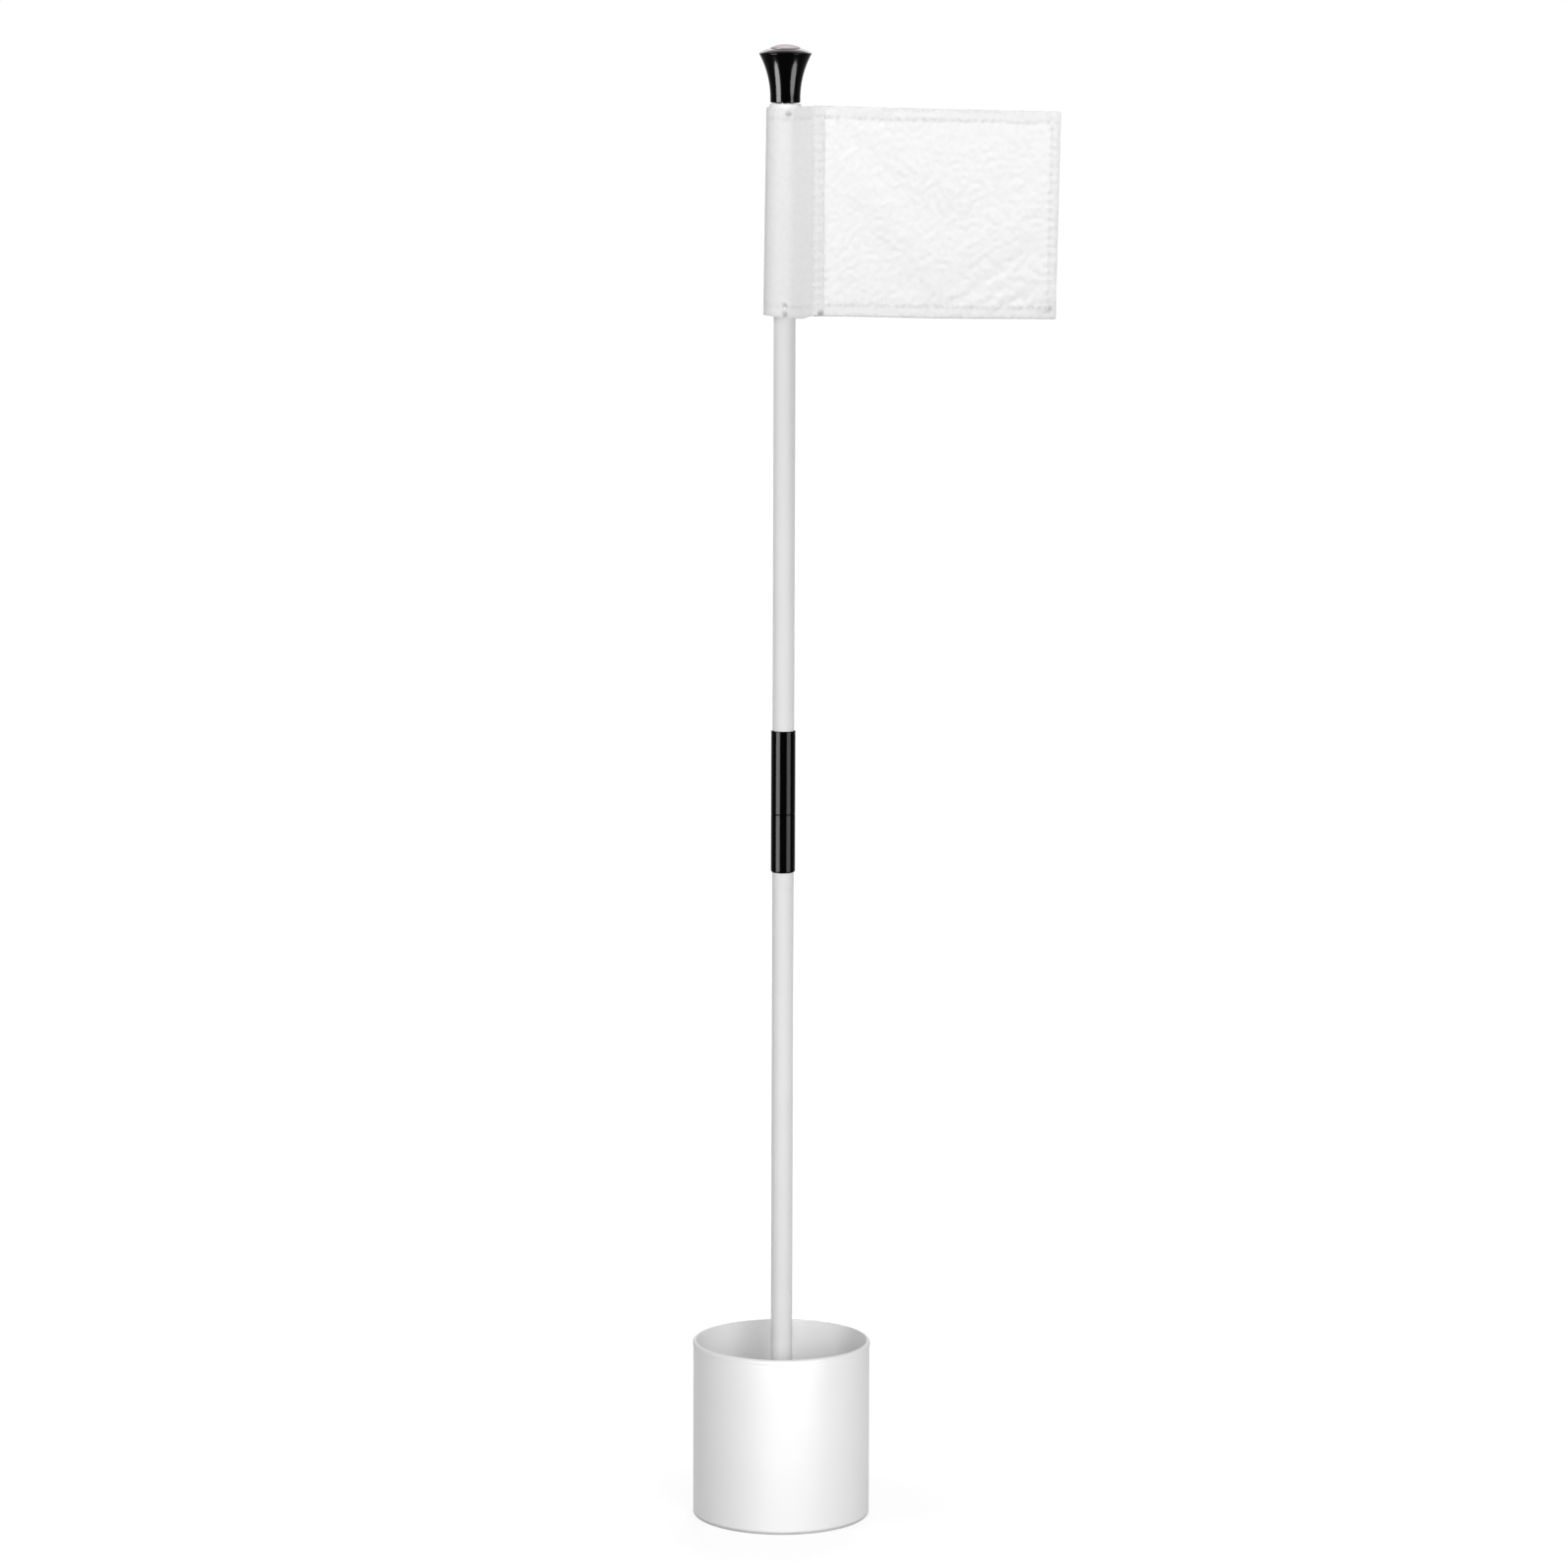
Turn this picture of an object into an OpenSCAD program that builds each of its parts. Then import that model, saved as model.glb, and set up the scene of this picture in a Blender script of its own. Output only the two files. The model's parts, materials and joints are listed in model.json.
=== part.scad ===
// Practice-green flagstick: a two-part pole with a swivelling flag, standing in a hole cup.
// Millimetres. Z is up, X points to the flag's free edge, and the origin is the centre of the cup's foot.

/* [Cup] */
// Outside diameter of the cup
cup_d = 108; // [90:1:130]
// Height of the cup
cup_h = 108; // [80:1:140]
// Thickness of the cup's wall
cup_wall_t = 2; // [1.6:0.1:3]
// Radius of the cup's outer bottom corner
cup_corner_r = 1.5; // [0.5:0.1:1.5]
// Height of the ball floor's top above the foot
floor_top_z = 14; // [12:1:30]
// Thickness of the ball floor
floor_t = 3; // [2:0.5:5]
// Diameter of a drain hole
drain_d = 12; // [6:1:14]
// Distance of the drain holes from the axis
drain_ring_r = 30; // [25:1:34]
// Number of drain holes, and of ribs between them
drain_count = 4; // [3:1:5]
// Thickness of a rib under the floor
rib_t = 2; // [1.5:0.5:4]
// Height of the ribs and the socket above the ground
foot_clear = 2; // [1:0.5:4]

/* [Socket and tip] */
// Outside diameter of the socket that holds the pole
socket_d = 24; // [20:1:30]
// Height of the socket's top above the foot
socket_top_z = 34; // [32:1:50]
// Chamfer on the socket's top edge
socket_chamfer = 2; // [0.5:0.5:3]
// Diameter of the tip where it stands in the socket
tip_d = 11.6; // [10:0.1:12]
// Length of the tip inside the socket
tip_l = 28; // [20:1:30]
// Length of the tip's tapered nose
tip_nose_l = 4; // [2:0.5:6]
// Height of the tip's collar, which rests on the socket
tip_collar_h = 4; // [2:0.5:8]

/* [Pole] */
// Outside diameter of the pole
pole_d = 13; // [12:0.1:16]
// Thickness of the pole's wall
pole_wall_t = 1.7; // [1.2:0.1:2]
// Length of the lower tube
lower_tube_l = 394; // [300:0.5:600]
// Length of the upper tube
upper_tube_l = 421.9; // [300:0.1:600]
// Length of the plug that the tip has inside the lower tube
tip_plug_l = 22; // [15:1:40]
// Length of the threaded plug in the pole's top end
top_plug_l = 28; // [22:1:40]

/* [Coupling] */
// Thickness of the black coupling sleeves
coupling_t = 0.8; // [0.6:0.1:2]
// Length of the lower coupling sleeve
coupling_lower_l = 35.5; // [30:0.5:60]
// Length of the upper coupling sleeve
coupling_upper_l = 50.5; // [30:0.5:80]
// Chamfer on the coupling's edges at the seam and at its top
seam_chamfer = 0.3; // [0.1:0.1:0.5]
// Chamfer on the coupling's bottom edge
coupling_low_chamfer = 0.6; // [0.2:0.1:0.6]
// Diameter of the threaded studs
stud_d = 6; // [4:0.1:7.4]
// Length of the stud that reaches into the lower tube
stud_reach = 20; // [14:1:26]
// Length of the stud that is held in the upper tube
stud_hold = 26; // [18:1:30]
// Length of the threaded inserts at the seam
insert_l = 32; // [30:1:36]

/* [Knob] */
// Diameter of the knob's neck
knob_neck_d = 17.8; // [17:0.1:20]
// Length of the neck before it flares
knob_neck_l = 2.5; // [1:0.1:5]
// Widest diameter of the knob, at its lip
knob_lip_d = 31.2; // [28:0.1:36]
// Radius of the knob's concave flare
knob_flare_r = 55; // [50:0.1:75]
// Radius that rounds the knob's lip
knob_lip_r = 0.5; // [0.3:0.1:2]
// Radius of the knob's rounded shoulder, from the lip to the badge
knob_shoulder_r = 12.7; // [11:0.1:16]
// Slope of the shoulder where it meets the badge, in degrees
knob_shoulder_slope = 5; // [0:1:15]
// Radius of the knob's bottom corner
knob_corner_r = 0.8; // [0.3:0.1:1.5]
// Diameter of the badge in the knob's top
badge_d = 17.6; // [12:0.1:20]
// Depth of the badge's seat in the knob
badge_seat = 1; // [0.5:0.1:3]
// Height of the badge's edge above the shoulder
badge_rise = 0.6; // [0.1:0.1:1.5]
// Radius of the badge's dome
badge_dome_r = 22; // [14:0.5:40]
// Length of the stud inside the knob
knob_stud_hold = 18; // [12:1:22]
// Length of the stud that reaches into the pole
knob_stud_reach = 18; // [12:1:20]
// Height of the collar that holds the knob off the pole
knob_collar_h = 3; // [3:0.5:6]
// Diameter of that collar
knob_collar_d = 8.4; // [7.5:0.1:9]

/* [Flag] */
// Width of the flag from the pole's axis to its free edge
flag_reach = 163; // [120:1:260]
// Height of the flag
flag_h = 124.2; // [100:0.1:200]
// Height of the liner's top above the flag's
liner_proud = 1.3; // [0.5:0.1:3]
// Outside diameter of the liner tube
liner_d = 18.6; // [17:0.1:24]
// Length by which the liner stops short of the flag's bottom edge
liner_short = 2; // [1:0.5:10]
// Thickness of the liner's top lip
liner_lip_t = 2.2; // [1.5:0.1:3]
// Gap between the liner and the sleeve's two sides
sleeve_gap = 0.3; // [0.2:0.1:0.8]
// Slack of the sleeve on the side away from the flag
sleeve_slack = 1.4; // [0.5:0.1:4]
// Thickness of the sleeve's doubled cloth
sleeve_t = 0.8; // [0.4:0.1:1.5]
// Distance from the pole's axis to the start of the stitched seam
seam_x = 16.5; // [16:0.5:24]
// Width of the stitched seam
seam_w = 7; // [5:0.5:10]
// Thickness of the stitched seam
seam_t = 1.6; // [1:0.1:2.4]
// Thickness of the flag's cloth
cloth_t = 0.6; // [0.3:0.1:1]
// Width of the hems
hem_w = 7; // [4:0.5:12]
// Thickness of the hems' folded cloth
hem_t = 0.7; // [0.4:0.1:1.4]
// Length of a thread tack
tack_l = 5; // [3:0.5:7]
// Width and depth of a thread tack
tack_t = 0.6; // [0.4:0.1:1]
// Distance of the upper tack, which lies level, from the flag's top edge
tack_top_inset = 4.5; // [2:0.5:8]
// Distance of the middle of the lower tack, which stands upright, from the flag's bottom edge
tack_low_inset = 4; // [4:0.5:10]

/* [Fits] */
// Radial clearance between a pin and its bore
fit_clear = 0.1; // [0.05:0.01:0.1]
// Radial clearance between the liner and the pole
liner_clear = 0.5; // [0.3:0.1:0.8]
// Clearance under and around the liner's lip
lip_clear = 0.2; // [0.1:0.1:0.5]

/* [Hidden] */
$fn = 96;
overcut = 1;
arc_steps = 10;

cup_r = cup_d / 2;
cup_in_r = cup_r - cup_wall_t;
floor_z = floor_top_z - floor_t;
socket_bore_d = tip_d + 2 * fit_clear;
stud_bore_d = stud_d + 2 * fit_clear;

pole_bore_d = pole_d - 2 * pole_wall_t;
coupling_d = pole_d + 2 * coupling_t;
lower_tube_z = socket_top_z + tip_collar_h;
seam_z = lower_tube_z + lower_tube_l;
pole_top_z = seam_z + upper_tube_l;

knob_z = pole_top_z + knob_collar_h;
neck_r = knob_neck_d / 2;
lip_x = knob_lip_d / 2 - knob_lip_r;
flare_x = neck_r + knob_flare_r;
lip_angle = acos((flare_x - lip_x) / (knob_flare_r + knob_lip_r));
lip_z = knob_neck_l + (knob_flare_r + knob_lip_r) * sin(lip_angle);
badge_r = badge_d / 2;
shoulder_x = badge_r - knob_shoulder_r * sin(knob_shoulder_slope);
shoulder_z = lip_z - sqrt(pow(knob_shoulder_r - knob_lip_r, 2) - pow(lip_x - shoulder_x, 2));
shoulder_angle = atan2(lip_z - shoulder_z, lip_x - shoulder_x);
badge_z = shoulder_z + knob_shoulder_r * cos(knob_shoulder_slope);
badge_dome_angle = acos(badge_r / badge_dome_r);
badge_dome_z = badge_z + badge_rise - badge_dome_r * sin(badge_dome_angle);

lip_z0 = pole_top_z + lip_clear;
liner_top_z = lip_z0 + liner_lip_t;
liner_bore_d = pole_d + 2 * liner_clear;
lip_hole_d = knob_collar_d + 4 * lip_clear;
flag_top_z = liner_top_z - liner_proud;
flag_z = flag_top_z - flag_h;
liner_z = flag_z + liner_short;
sleeve_r = liner_d / 2 + sleeve_gap + sleeve_t;
panel_x = seam_x + seam_w;
panel_l = flag_reach - panel_x;

// Points along an arc about a centre, from one angle to another; an arc that goes on from
// another one starts at its point 1
function arc(centre, r, from, to, steps = arc_steps, first = 0) =
    [for (i = [first:steps]) let (a = from + (to - from) * i / steps) centre + r * [cos(a), sin(a)]];

// A tube standing on z
module tube(z, l, d, bore) {
    translate([0, 0, z]) difference() {
        cylinder(h = l, d = d);
        translate([0, 0, -overcut]) cylinder(h = l + 2 * overcut, d = bore);
    }
}

// Outline of a cloth loop around the liner, which hangs back by the slack on one side,
// and whose two sides run straight to a blunt end at end_x on the other
module loop_outline(r, end_x, end_half_t) {
    start = atan2(end_half_t, end_x) + acos(r / norm([end_x, end_half_t]));
    polygon(concat(
        [[end_x, -end_half_t], [end_x, end_half_t]],
        arc([0, 0], r, start, 90),
        arc([-sleeve_slack, 0], r, 90, 270, 2 * arc_steps),
        arc([0, 0], r, 270, 360 - start)
    ));
}

// A coupling sleeve standing on z, with a chamfer at each end
module coupling_sleeve(z, l, low_chamfer, high_chamfer) {
    r = coupling_d / 2;
    translate([0, 0, z]) rotate_extrude() polygon([
        [pole_d / 2, 0], [r - low_chamfer, 0], [r, low_chamfer],
        [r, l - high_chamfer], [r - high_chamfer, l], [pole_d / 2, l]
    ]);
}

// Straight side of the cup, with a fully rounded rim and a rounded foot
module cup_wall() {
    rim_r = cup_wall_t / 2;
    color("white") rotate_extrude() polygon(concat(
        [[cup_in_r, 0]],
        arc([cup_r - cup_corner_r, cup_corner_r], cup_corner_r, -90, 0),
        arc([cup_r - rim_r, cup_h - rim_r], rim_r, 0, 180)
    ));
}

// Raised floor that the ball drops onto, with drain holes
module cup_floor() {
    color("white") difference() {
        tube(floor_z, floor_t, 2 * cup_in_r, socket_d);
        for (i = [0:drain_count - 1])
            rotate([0, 0, (i + 0.5) * 360 / drain_count])
                translate([drain_ring_r, 0, floor_z - overcut])
                    cylinder(h = floor_t + 2 * overcut, d = drain_d);
    }
}

// Upright socket in the floor's centre
module cup_socket() {
    r = socket_d / 2;
    color("white") rotate_extrude() polygon([
        [socket_bore_d / 2, foot_clear], [r, foot_clear], [r, socket_top_z - socket_chamfer],
        [r - socket_chamfer, socket_top_z], [socket_bore_d / 2, socket_top_z]
    ]);
}

// Ribs that carry the floor, from the socket to the wall
module cup_ribs() {
    color("white") for (i = [0:drain_count - 1])
        rotate([0, 0, i * 360 / drain_count]) intersection() {
            translate([0, -rib_t / 2, foot_clear]) cube([cup_r, rib_t, floor_z - foot_clear]);
            tube(0, cup_h, 2 * cup_in_r, socket_d);
        }
}

// Moulded tip that stands in the socket and plugs the lower tube
module pole_tip() {
    r = tip_d / 2;
    bottom = socket_top_z - tip_l;
    color("gainsboro") rotate_extrude() polygon([
        [0, bottom], [r - tip_nose_l / 2, bottom], [r, bottom + tip_nose_l], [r, socket_top_z],
        [pole_d / 2, socket_top_z], [pole_d / 2, lower_tube_z], [pole_bore_d / 2, lower_tube_z],
        [pole_bore_d / 2, lower_tube_z + tip_plug_l], [0, lower_tube_z + tip_plug_l]
    ]);
}

module lower_tube() {
    color("white") tube(lower_tube_z, lower_tube_l, pole_d, pole_bore_d);
}

// Threaded insert in the lower tube's top end
module lower_insert() {
    color("goldenrod") tube(seam_z - insert_l, insert_l, pole_bore_d, stud_bore_d);
}

module lower_coupling() {
    color("black")
        coupling_sleeve(seam_z - coupling_lower_l, coupling_lower_l, coupling_low_chamfer, seam_chamfer);
}

module upper_coupling() {
    color("black") coupling_sleeve(seam_z, coupling_upper_l, seam_chamfer, seam_chamfer);
}

// Threaded stud that screws the two sections together
module coupling_stud() {
    color("silver") translate([0, 0, seam_z - stud_reach]) cylinder(h = stud_reach + stud_hold, d = stud_d);
}

// Insert that holds the stud in the upper tube's bottom end
module upper_insert() {
    color("goldenrod") tube(seam_z, insert_l, pole_bore_d, stud_d);
}

module upper_tube() {
    color("white") tube(seam_z, upper_tube_l, pole_d, pole_bore_d);
}

// Threaded plug in the pole's top end
module top_plug() {
    color("goldenrod") tube(pole_top_z - top_plug_l, top_plug_l, pole_bore_d, stud_bore_d);
}

// Flared knob with a rounded shoulder and a seat for the badge
module knob_body() {
    color("black") translate([0, 0, knob_z]) rotate_extrude() polygon(concat(
        [[stud_d / 2, 0]],
        arc([neck_r - knob_corner_r, knob_corner_r], knob_corner_r, -90, 0, 5),
        arc([flare_x, knob_neck_l], knob_flare_r, 180, 180 - lip_angle, 2 * arc_steps),
        arc([lip_x, lip_z], knob_lip_r, -lip_angle, shoulder_angle, arc_steps, 1),
        arc([shoulder_x, shoulder_z], knob_shoulder_r,
            shoulder_angle, 90 - knob_shoulder_slope, arc_steps, 1),
        [[badge_r, badge_z - badge_seat], [0, badge_z - badge_seat],
         [0, knob_stud_hold], [stud_d / 2, knob_stud_hold]]
    ));
}

// Plain domed badge, which stands a little above the shoulder
module knob_badge() {
    color("lightgray") translate([0, 0, knob_z]) rotate_extrude() polygon(concat(
        [[0, badge_z - badge_seat], [badge_r, badge_z - badge_seat]],
        arc([0, badge_dome_z], badge_dome_r, badge_dome_angle, 90)
    ));
}

// Stud that screws the knob into the pole, with the collar that the liner's lip turns around
module knob_stud() {
    color("silver") union() {
        translate([0, 0, pole_top_z - knob_stud_reach])
            cylinder(h = knob_stud_reach + knob_collar_h + knob_stud_hold, d = stud_d);
        translate([0, 0, pole_top_z]) cylinder(h = knob_collar_h, d = knob_collar_d);
    }
}

// Plastic tube in the sleeve, which hangs on the pole's top end by its lip and turns there
module flag_liner() {
    color("whitesmoke") difference() {
        translate([0, 0, liner_z]) cylinder(h = liner_top_z - liner_z, d = liner_d);
        translate([0, 0, liner_z - overcut]) cylinder(h = lip_z0 - liner_z + overcut, d = liner_bore_d);
        translate([0, 0, lip_z0 - overcut]) cylinder(h = liner_lip_t + 2 * overcut, d = lip_hole_d);
    }
}

// Pocket of doubled cloth around the liner
module flag_sleeve() {
    color("ghostwhite") translate([0, 0, flag_z]) linear_extrude(height = flag_h) difference() {
        loop_outline(sleeve_r, seam_x, seam_t / 2);
        loop_outline(sleeve_r - sleeve_t, seam_x - sleeve_t, seam_t / 8);
    }
}

// Strip where the sleeve is stitched down
module sleeve_seam() {
    color("ghostwhite") translate([seam_x, -seam_t / 2, flag_z]) cube([seam_w, seam_t, flag_h]);
}

module flag_panel() {
    color("ghostwhite") translate([panel_x, -cloth_t / 2, flag_z]) cube([panel_l, cloth_t, flag_h]);
}

// A hem folded onto the back of the panel
module hem(x, z, w, h) {
    color("ghostwhite") translate([x, cloth_t / 2, z]) cube([w, hem_t, h]);
}

module top_hem() {
    hem(panel_x, flag_top_z - hem_w, panel_l, hem_w);
}

module bottom_hem() {
    hem(panel_x, flag_z, panel_l, hem_w);
}

module fly_hem() {
    hem(flag_reach - hem_w, flag_z + hem_w, hem_w, flag_h - 2 * hem_w);
}

// Thread tacks on the sleeve's front that keep the liner in it, near both ends
module tack(z, w, h) {
    translate([-w / 2, -sleeve_r - tack_t, z - h / 2]) cube([w, tack_t, h]);
}

module liner_tacks() {
    color("whitesmoke") {
        tack(flag_z + tack_low_inset, tack_t, tack_l);
        tack(flag_top_z - tack_top_inset, tack_l, tack_t);
    }
}

cup_wall();
cup_floor();
cup_socket();
cup_ribs();
pole_tip();
lower_tube();
lower_insert();
lower_coupling();
upper_coupling();
coupling_stud();
upper_insert();
upper_tube();
top_plug();
knob_body();
knob_badge();
knob_stud();
flag_liner();
flag_sleeve();
sleeve_seam();
flag_panel();
top_hem();
bottom_hem();
fly_hem();
liner_tacks();
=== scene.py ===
"""A golf practice flagstick: a two-part pole with a swivelling flag, standing in a hole cup."""

import json
import math

import bpy
import numpy as np
from mathutils import Matrix, Vector, noise

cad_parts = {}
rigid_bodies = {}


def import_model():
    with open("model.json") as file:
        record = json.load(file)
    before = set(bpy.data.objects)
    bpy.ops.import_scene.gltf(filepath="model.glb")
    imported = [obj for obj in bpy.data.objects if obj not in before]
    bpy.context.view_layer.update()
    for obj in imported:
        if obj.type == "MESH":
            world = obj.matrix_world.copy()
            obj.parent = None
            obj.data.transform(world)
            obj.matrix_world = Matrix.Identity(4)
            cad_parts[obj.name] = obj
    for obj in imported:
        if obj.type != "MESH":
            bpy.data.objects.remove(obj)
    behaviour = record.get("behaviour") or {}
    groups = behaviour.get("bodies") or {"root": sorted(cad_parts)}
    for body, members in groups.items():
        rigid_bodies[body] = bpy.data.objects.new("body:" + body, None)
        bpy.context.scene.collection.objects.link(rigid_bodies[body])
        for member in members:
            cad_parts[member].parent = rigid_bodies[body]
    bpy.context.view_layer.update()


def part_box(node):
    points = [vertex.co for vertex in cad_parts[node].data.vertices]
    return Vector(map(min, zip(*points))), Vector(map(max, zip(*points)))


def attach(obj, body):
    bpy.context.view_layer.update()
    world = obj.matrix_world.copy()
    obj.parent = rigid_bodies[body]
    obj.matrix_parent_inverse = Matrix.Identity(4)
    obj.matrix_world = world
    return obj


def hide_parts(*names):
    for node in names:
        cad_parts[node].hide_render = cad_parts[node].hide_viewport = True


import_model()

MM = 0.001


# ---------------------------------------------------------------- camera, floor and light

CAMERA_PLACE = Vector((0.0005, -3.55, 0.979))
CAMERA_TILT = math.radians(8.4755)
CAMERA_ROLL = math.radians(0.18)
CAMERA_LENS = 137.172
FLOOR_SIZE = 80.0
# the floor's own white grows between these distances from the pole, and lacks these shares of the kept shade,
# so the floor is painted darker near the pole
GLOW_REACH, GLOW_LACKS = (0.25, 1.3), (0.38, 0.12)
# a painted shadow on the floor round the cup's foot: the distances over which it fades, and its share of the
# kept shade
FOOT_REACH, FOOT_LACKS = (0.06, 0.20), 0.40
STRIPE_DISTANCE = 0.45

# name, (azimuth in degrees, height) of its top and of its foot, width, power, shape
KNOB_STRIPES = (("knob_left_stripe", (-46, 1.10), (-60, 0.48), 0.27, 112.0, "ELLIPSE"),
                ("knob_right_stripe", (48, 0.85), (63, 0.48), 0.27, 42.0, "ELLIPSE"))
COUPLING_STRIPES = (("coupling_left_stripe", (-51, 0.72), (-51, 0.19), 0.30, 62.0, "RECTANGLE"),
                    ("coupling_right_stripe", (53, 0.72), (53, 0.19), 0.30, 30.0, "RECTANGLE"))

# name, the groups it lights, place, what it faces, width, height, power
SOFT_BOXES = (
    ("upper_box", ("flag",), (-0.05, -1.34, 1.93), (0.08, 0, 0.84), 0.72, 0.56, 22.0),
    ("flag_left_box", ("flag",), (-0.62, -0.40, 1.00), (0, 0, 0.55), 0.30, 0.60, 1.5),
    ("flag_right_box", ("flag",), (0.70, -0.45, 1.10), (0, 0, 0.75), 0.30, 0.50, 1.5),
    ("left_box", ("cup", "others"), (-0.62, -0.40, 1.00), (0, 0, 0.55), 0.30, 0.60, 2.1),
    ("low_front_box", ("cup", "others"), (0.16, -1.30, 0.32), (0, 0, 0.05), 0.50, 0.40, 4.1),
    ("low_right_box", ("cup", "others"), (0.40, -1.10, 0.50), (0, 0, 0.05), 0.50, 0.45, 4.8),
    ("back_left_box", ("cup", "others"), (-1.20, 1.00, 0.90), (0, 0, 0.50), 0.90, 1.40, 2.0),
    ("sheen_box", ("cup",), (0.08, -0.60, 0.09), (0, 0, 0.05), 1.00, 0.16, 9.5),
    ("shoulder_box", ("knob",), (0, 0.355, 1.165), (0, 0, 0.888), 0.34, 0.40, 2.6),
    ("badge_box", ("badge",), (0, 0.20, 1.25), (0, 0, 0.888), 0.60, 0.30, 0.5),
)
MIRRORED_BOXES = ("sheen_box", "shoulder_box", "badge_box")
# lights every piece from behind: place, what it faces, width, height, power
BACK_BOX = ((0.30, 2.00, 1.20), (0, 0, 0.50), 1.20, 1.00, 24.0)


def place_camera():
    data = bpy.data.cameras.new("front_camera")
    data.lens = CAMERA_LENS
    data.sensor_width = 36.0
    data.clip_end = 200.0
    camera = bpy.data.objects.new("front_camera", data)
    bpy.context.scene.collection.objects.link(camera)
    camera.matrix_world = (Matrix.Translation(CAMERA_PLACE)
                           @ Matrix.Rotation(math.pi / 2 - CAMERA_TILT, 4, "X")
                           @ Matrix.Rotation(CAMERA_ROLL, 4, "Z"))
    bpy.context.scene.camera = camera
    bpy.context.scene.view_settings.view_transform = "Standard"


def add(tree, kind, **settings):
    """A new node in a tree, with its settings."""
    node = tree.nodes.new(kind)
    for name, value in settings.items():
        setattr(node, name, value)
    return node


def feed(tree, socket, value):
    """Links a socket to another node's output, or sets it to a plain value."""
    if isinstance(value, bpy.types.NodeSocket):
        tree.links.new(value, socket)
    else:
        socket.default_value = value


def feed_inputs(tree, node, values):
    """Feeds a node's inputs by their names."""
    for label, value in values.items():
        feed(tree, node.inputs[label], value)


def calc(tree, operation, *values, clamp=False):
    """The result of a Math node."""
    node = add(tree, "ShaderNodeMath", operation=operation, use_clamp=clamp)
    for socket, value in zip(node.inputs, values):
        feed(tree, socket, value)
    return node.outputs[0]


def times(tree, first, second):
    return calc(tree, "MULTIPLY", first, second)


def plus(tree, first, second):
    return calc(tree, "ADD", first, second)


def split_xyz(tree, vector):
    """The X, Y and Z of a vector."""
    node = add(tree, "ShaderNodeSeparateXYZ")
    feed(tree, node.inputs[0], vector)
    return node.outputs


def ease(tree, value, low, high, at_low=0.0, at_high=1.0):
    """A value that goes smoothly from at_low to at_high as another goes from low to high."""
    node = add(tree, "ShaderNodeMapRange", interpolation_type="SMOOTHSTEP")
    for socket, given in zip(node.inputs, (value, low, high, at_low, at_high)):
        feed(tree, socket, given)
    return node.outputs[0]


def blend_colours(tree, factor, first, second, kind="MIX"):
    node = add(tree, "ShaderNodeMix", data_type="RGBA", blend_type=kind)
    feed(tree, node.inputs[0], factor)
    feed(tree, node.inputs[6], first)
    feed(tree, node.inputs[7], second)
    return node.outputs[2]


def grey(value):
    return (value, value, value, 1.0)


def shaded(colour, factor):
    return tuple(channel * factor for channel in colour[:3]) + (1.0,)


def white_where_seen(tree):
    """1 for rays that show the background: from the camera, mirrored, or through glass."""
    path = add(tree, "ShaderNodeLightPath")
    seen = calc(tree, "MAXIMUM", path.outputs["Is Camera Ray"], path.outputs["Is Glossy Ray"])
    return calc(tree, "MAXIMUM", seen, path.outputs["Is Transmission Ray"])


def light_world(ambient):
    """White where it is seen, and a plain pale light elsewhere."""
    world = bpy.data.worlds.new("studio")
    bpy.context.scene.world = world
    world.use_nodes = True
    tree = world.node_tree
    tree.nodes.clear()
    out = add(tree, "ShaderNodeOutputWorld")
    background = add(tree, "ShaderNodeBackground")
    background.inputs["Color"].default_value = grey(1.0)
    seen = white_where_seen(tree)
    feed(tree, background.inputs["Strength"], ease(tree, seen, 0.0, 1.0, ambient, 1.0))
    tree.links.new(background.outputs[0], out.inputs["Surface"])


def lay_floor(bounce, kept_shade):
    """A pale floor. Where it is seen, most of its white is its own and the rest keeps the shadow."""
    bpy.ops.mesh.primitive_plane_add(size=FLOOR_SIZE)
    floor = bpy.context.object
    floor.name = "studio_floor"
    material, tree, shader, place = new_material("studio_floor")
    seen = white_where_seen(tree)
    away = add(tree, "ShaderNodeVectorMath", operation="LENGTH")
    feed(tree, away.inputs[0], place)
    distance = away.outputs["Value"]
    # the floor's own white is lowered near the pole, and more round the foot: painted shade on the floor
    glow = ease(tree, distance, *GLOW_REACH, *(1.0 - kept_shade * share for share in GLOW_LACKS))
    painted_shade_at_foot = ease(tree, distance, *FOOT_REACH, -kept_shade * FOOT_LACKS, 0.0)
    feed_inputs(tree, shader, {
        "Base Color": blend_colours(tree, seen, grey(bounce), grey(kept_shade)),
        "Roughness": 1.0, "Specular IOR Level": 0.0, "Emission Color": grey(1.0),
        "Emission Strength": times(tree, seen, plus(tree, glow, painted_shade_at_foot))})
    floor.data.materials.append(material)


def hang_lamp(name, place, aim, width, height, power, lit=None, mirrored_only=False, up=(0, 0, 1)):
    """A soft box that faces a point and lights one group, or all. Only a mirrored one gives highlights."""
    data = bpy.data.lights.new(name, "AREA")
    data.shape = "RECTANGLE"
    data.size, data.size_y = width, height
    data.energy = power
    lamp = bpy.data.objects.new(name, data)
    bpy.context.scene.collection.objects.link(lamp)
    away = (Vector(place) - Vector(aim)).normalized()
    side = Vector(up).cross(away).normalized()
    turn = Matrix((side, away.cross(side), away)).transposed()
    lamp.matrix_world = Matrix.Translation(place) @ turn.to_4x4()
    lamp.visible_camera = False
    lamp.visible_diffuse = mirrored_only is False
    lamp.visible_glossy = mirrored_only
    lamp.light_linking.receiver_collection = lit
    return lamp


def group_of(name, pieces):
    """A collection that a lamp can be kept to."""
    group = bpy.data.collections.new(name)
    for piece in pieces:
        group.objects.link(piece)
    return group


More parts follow.
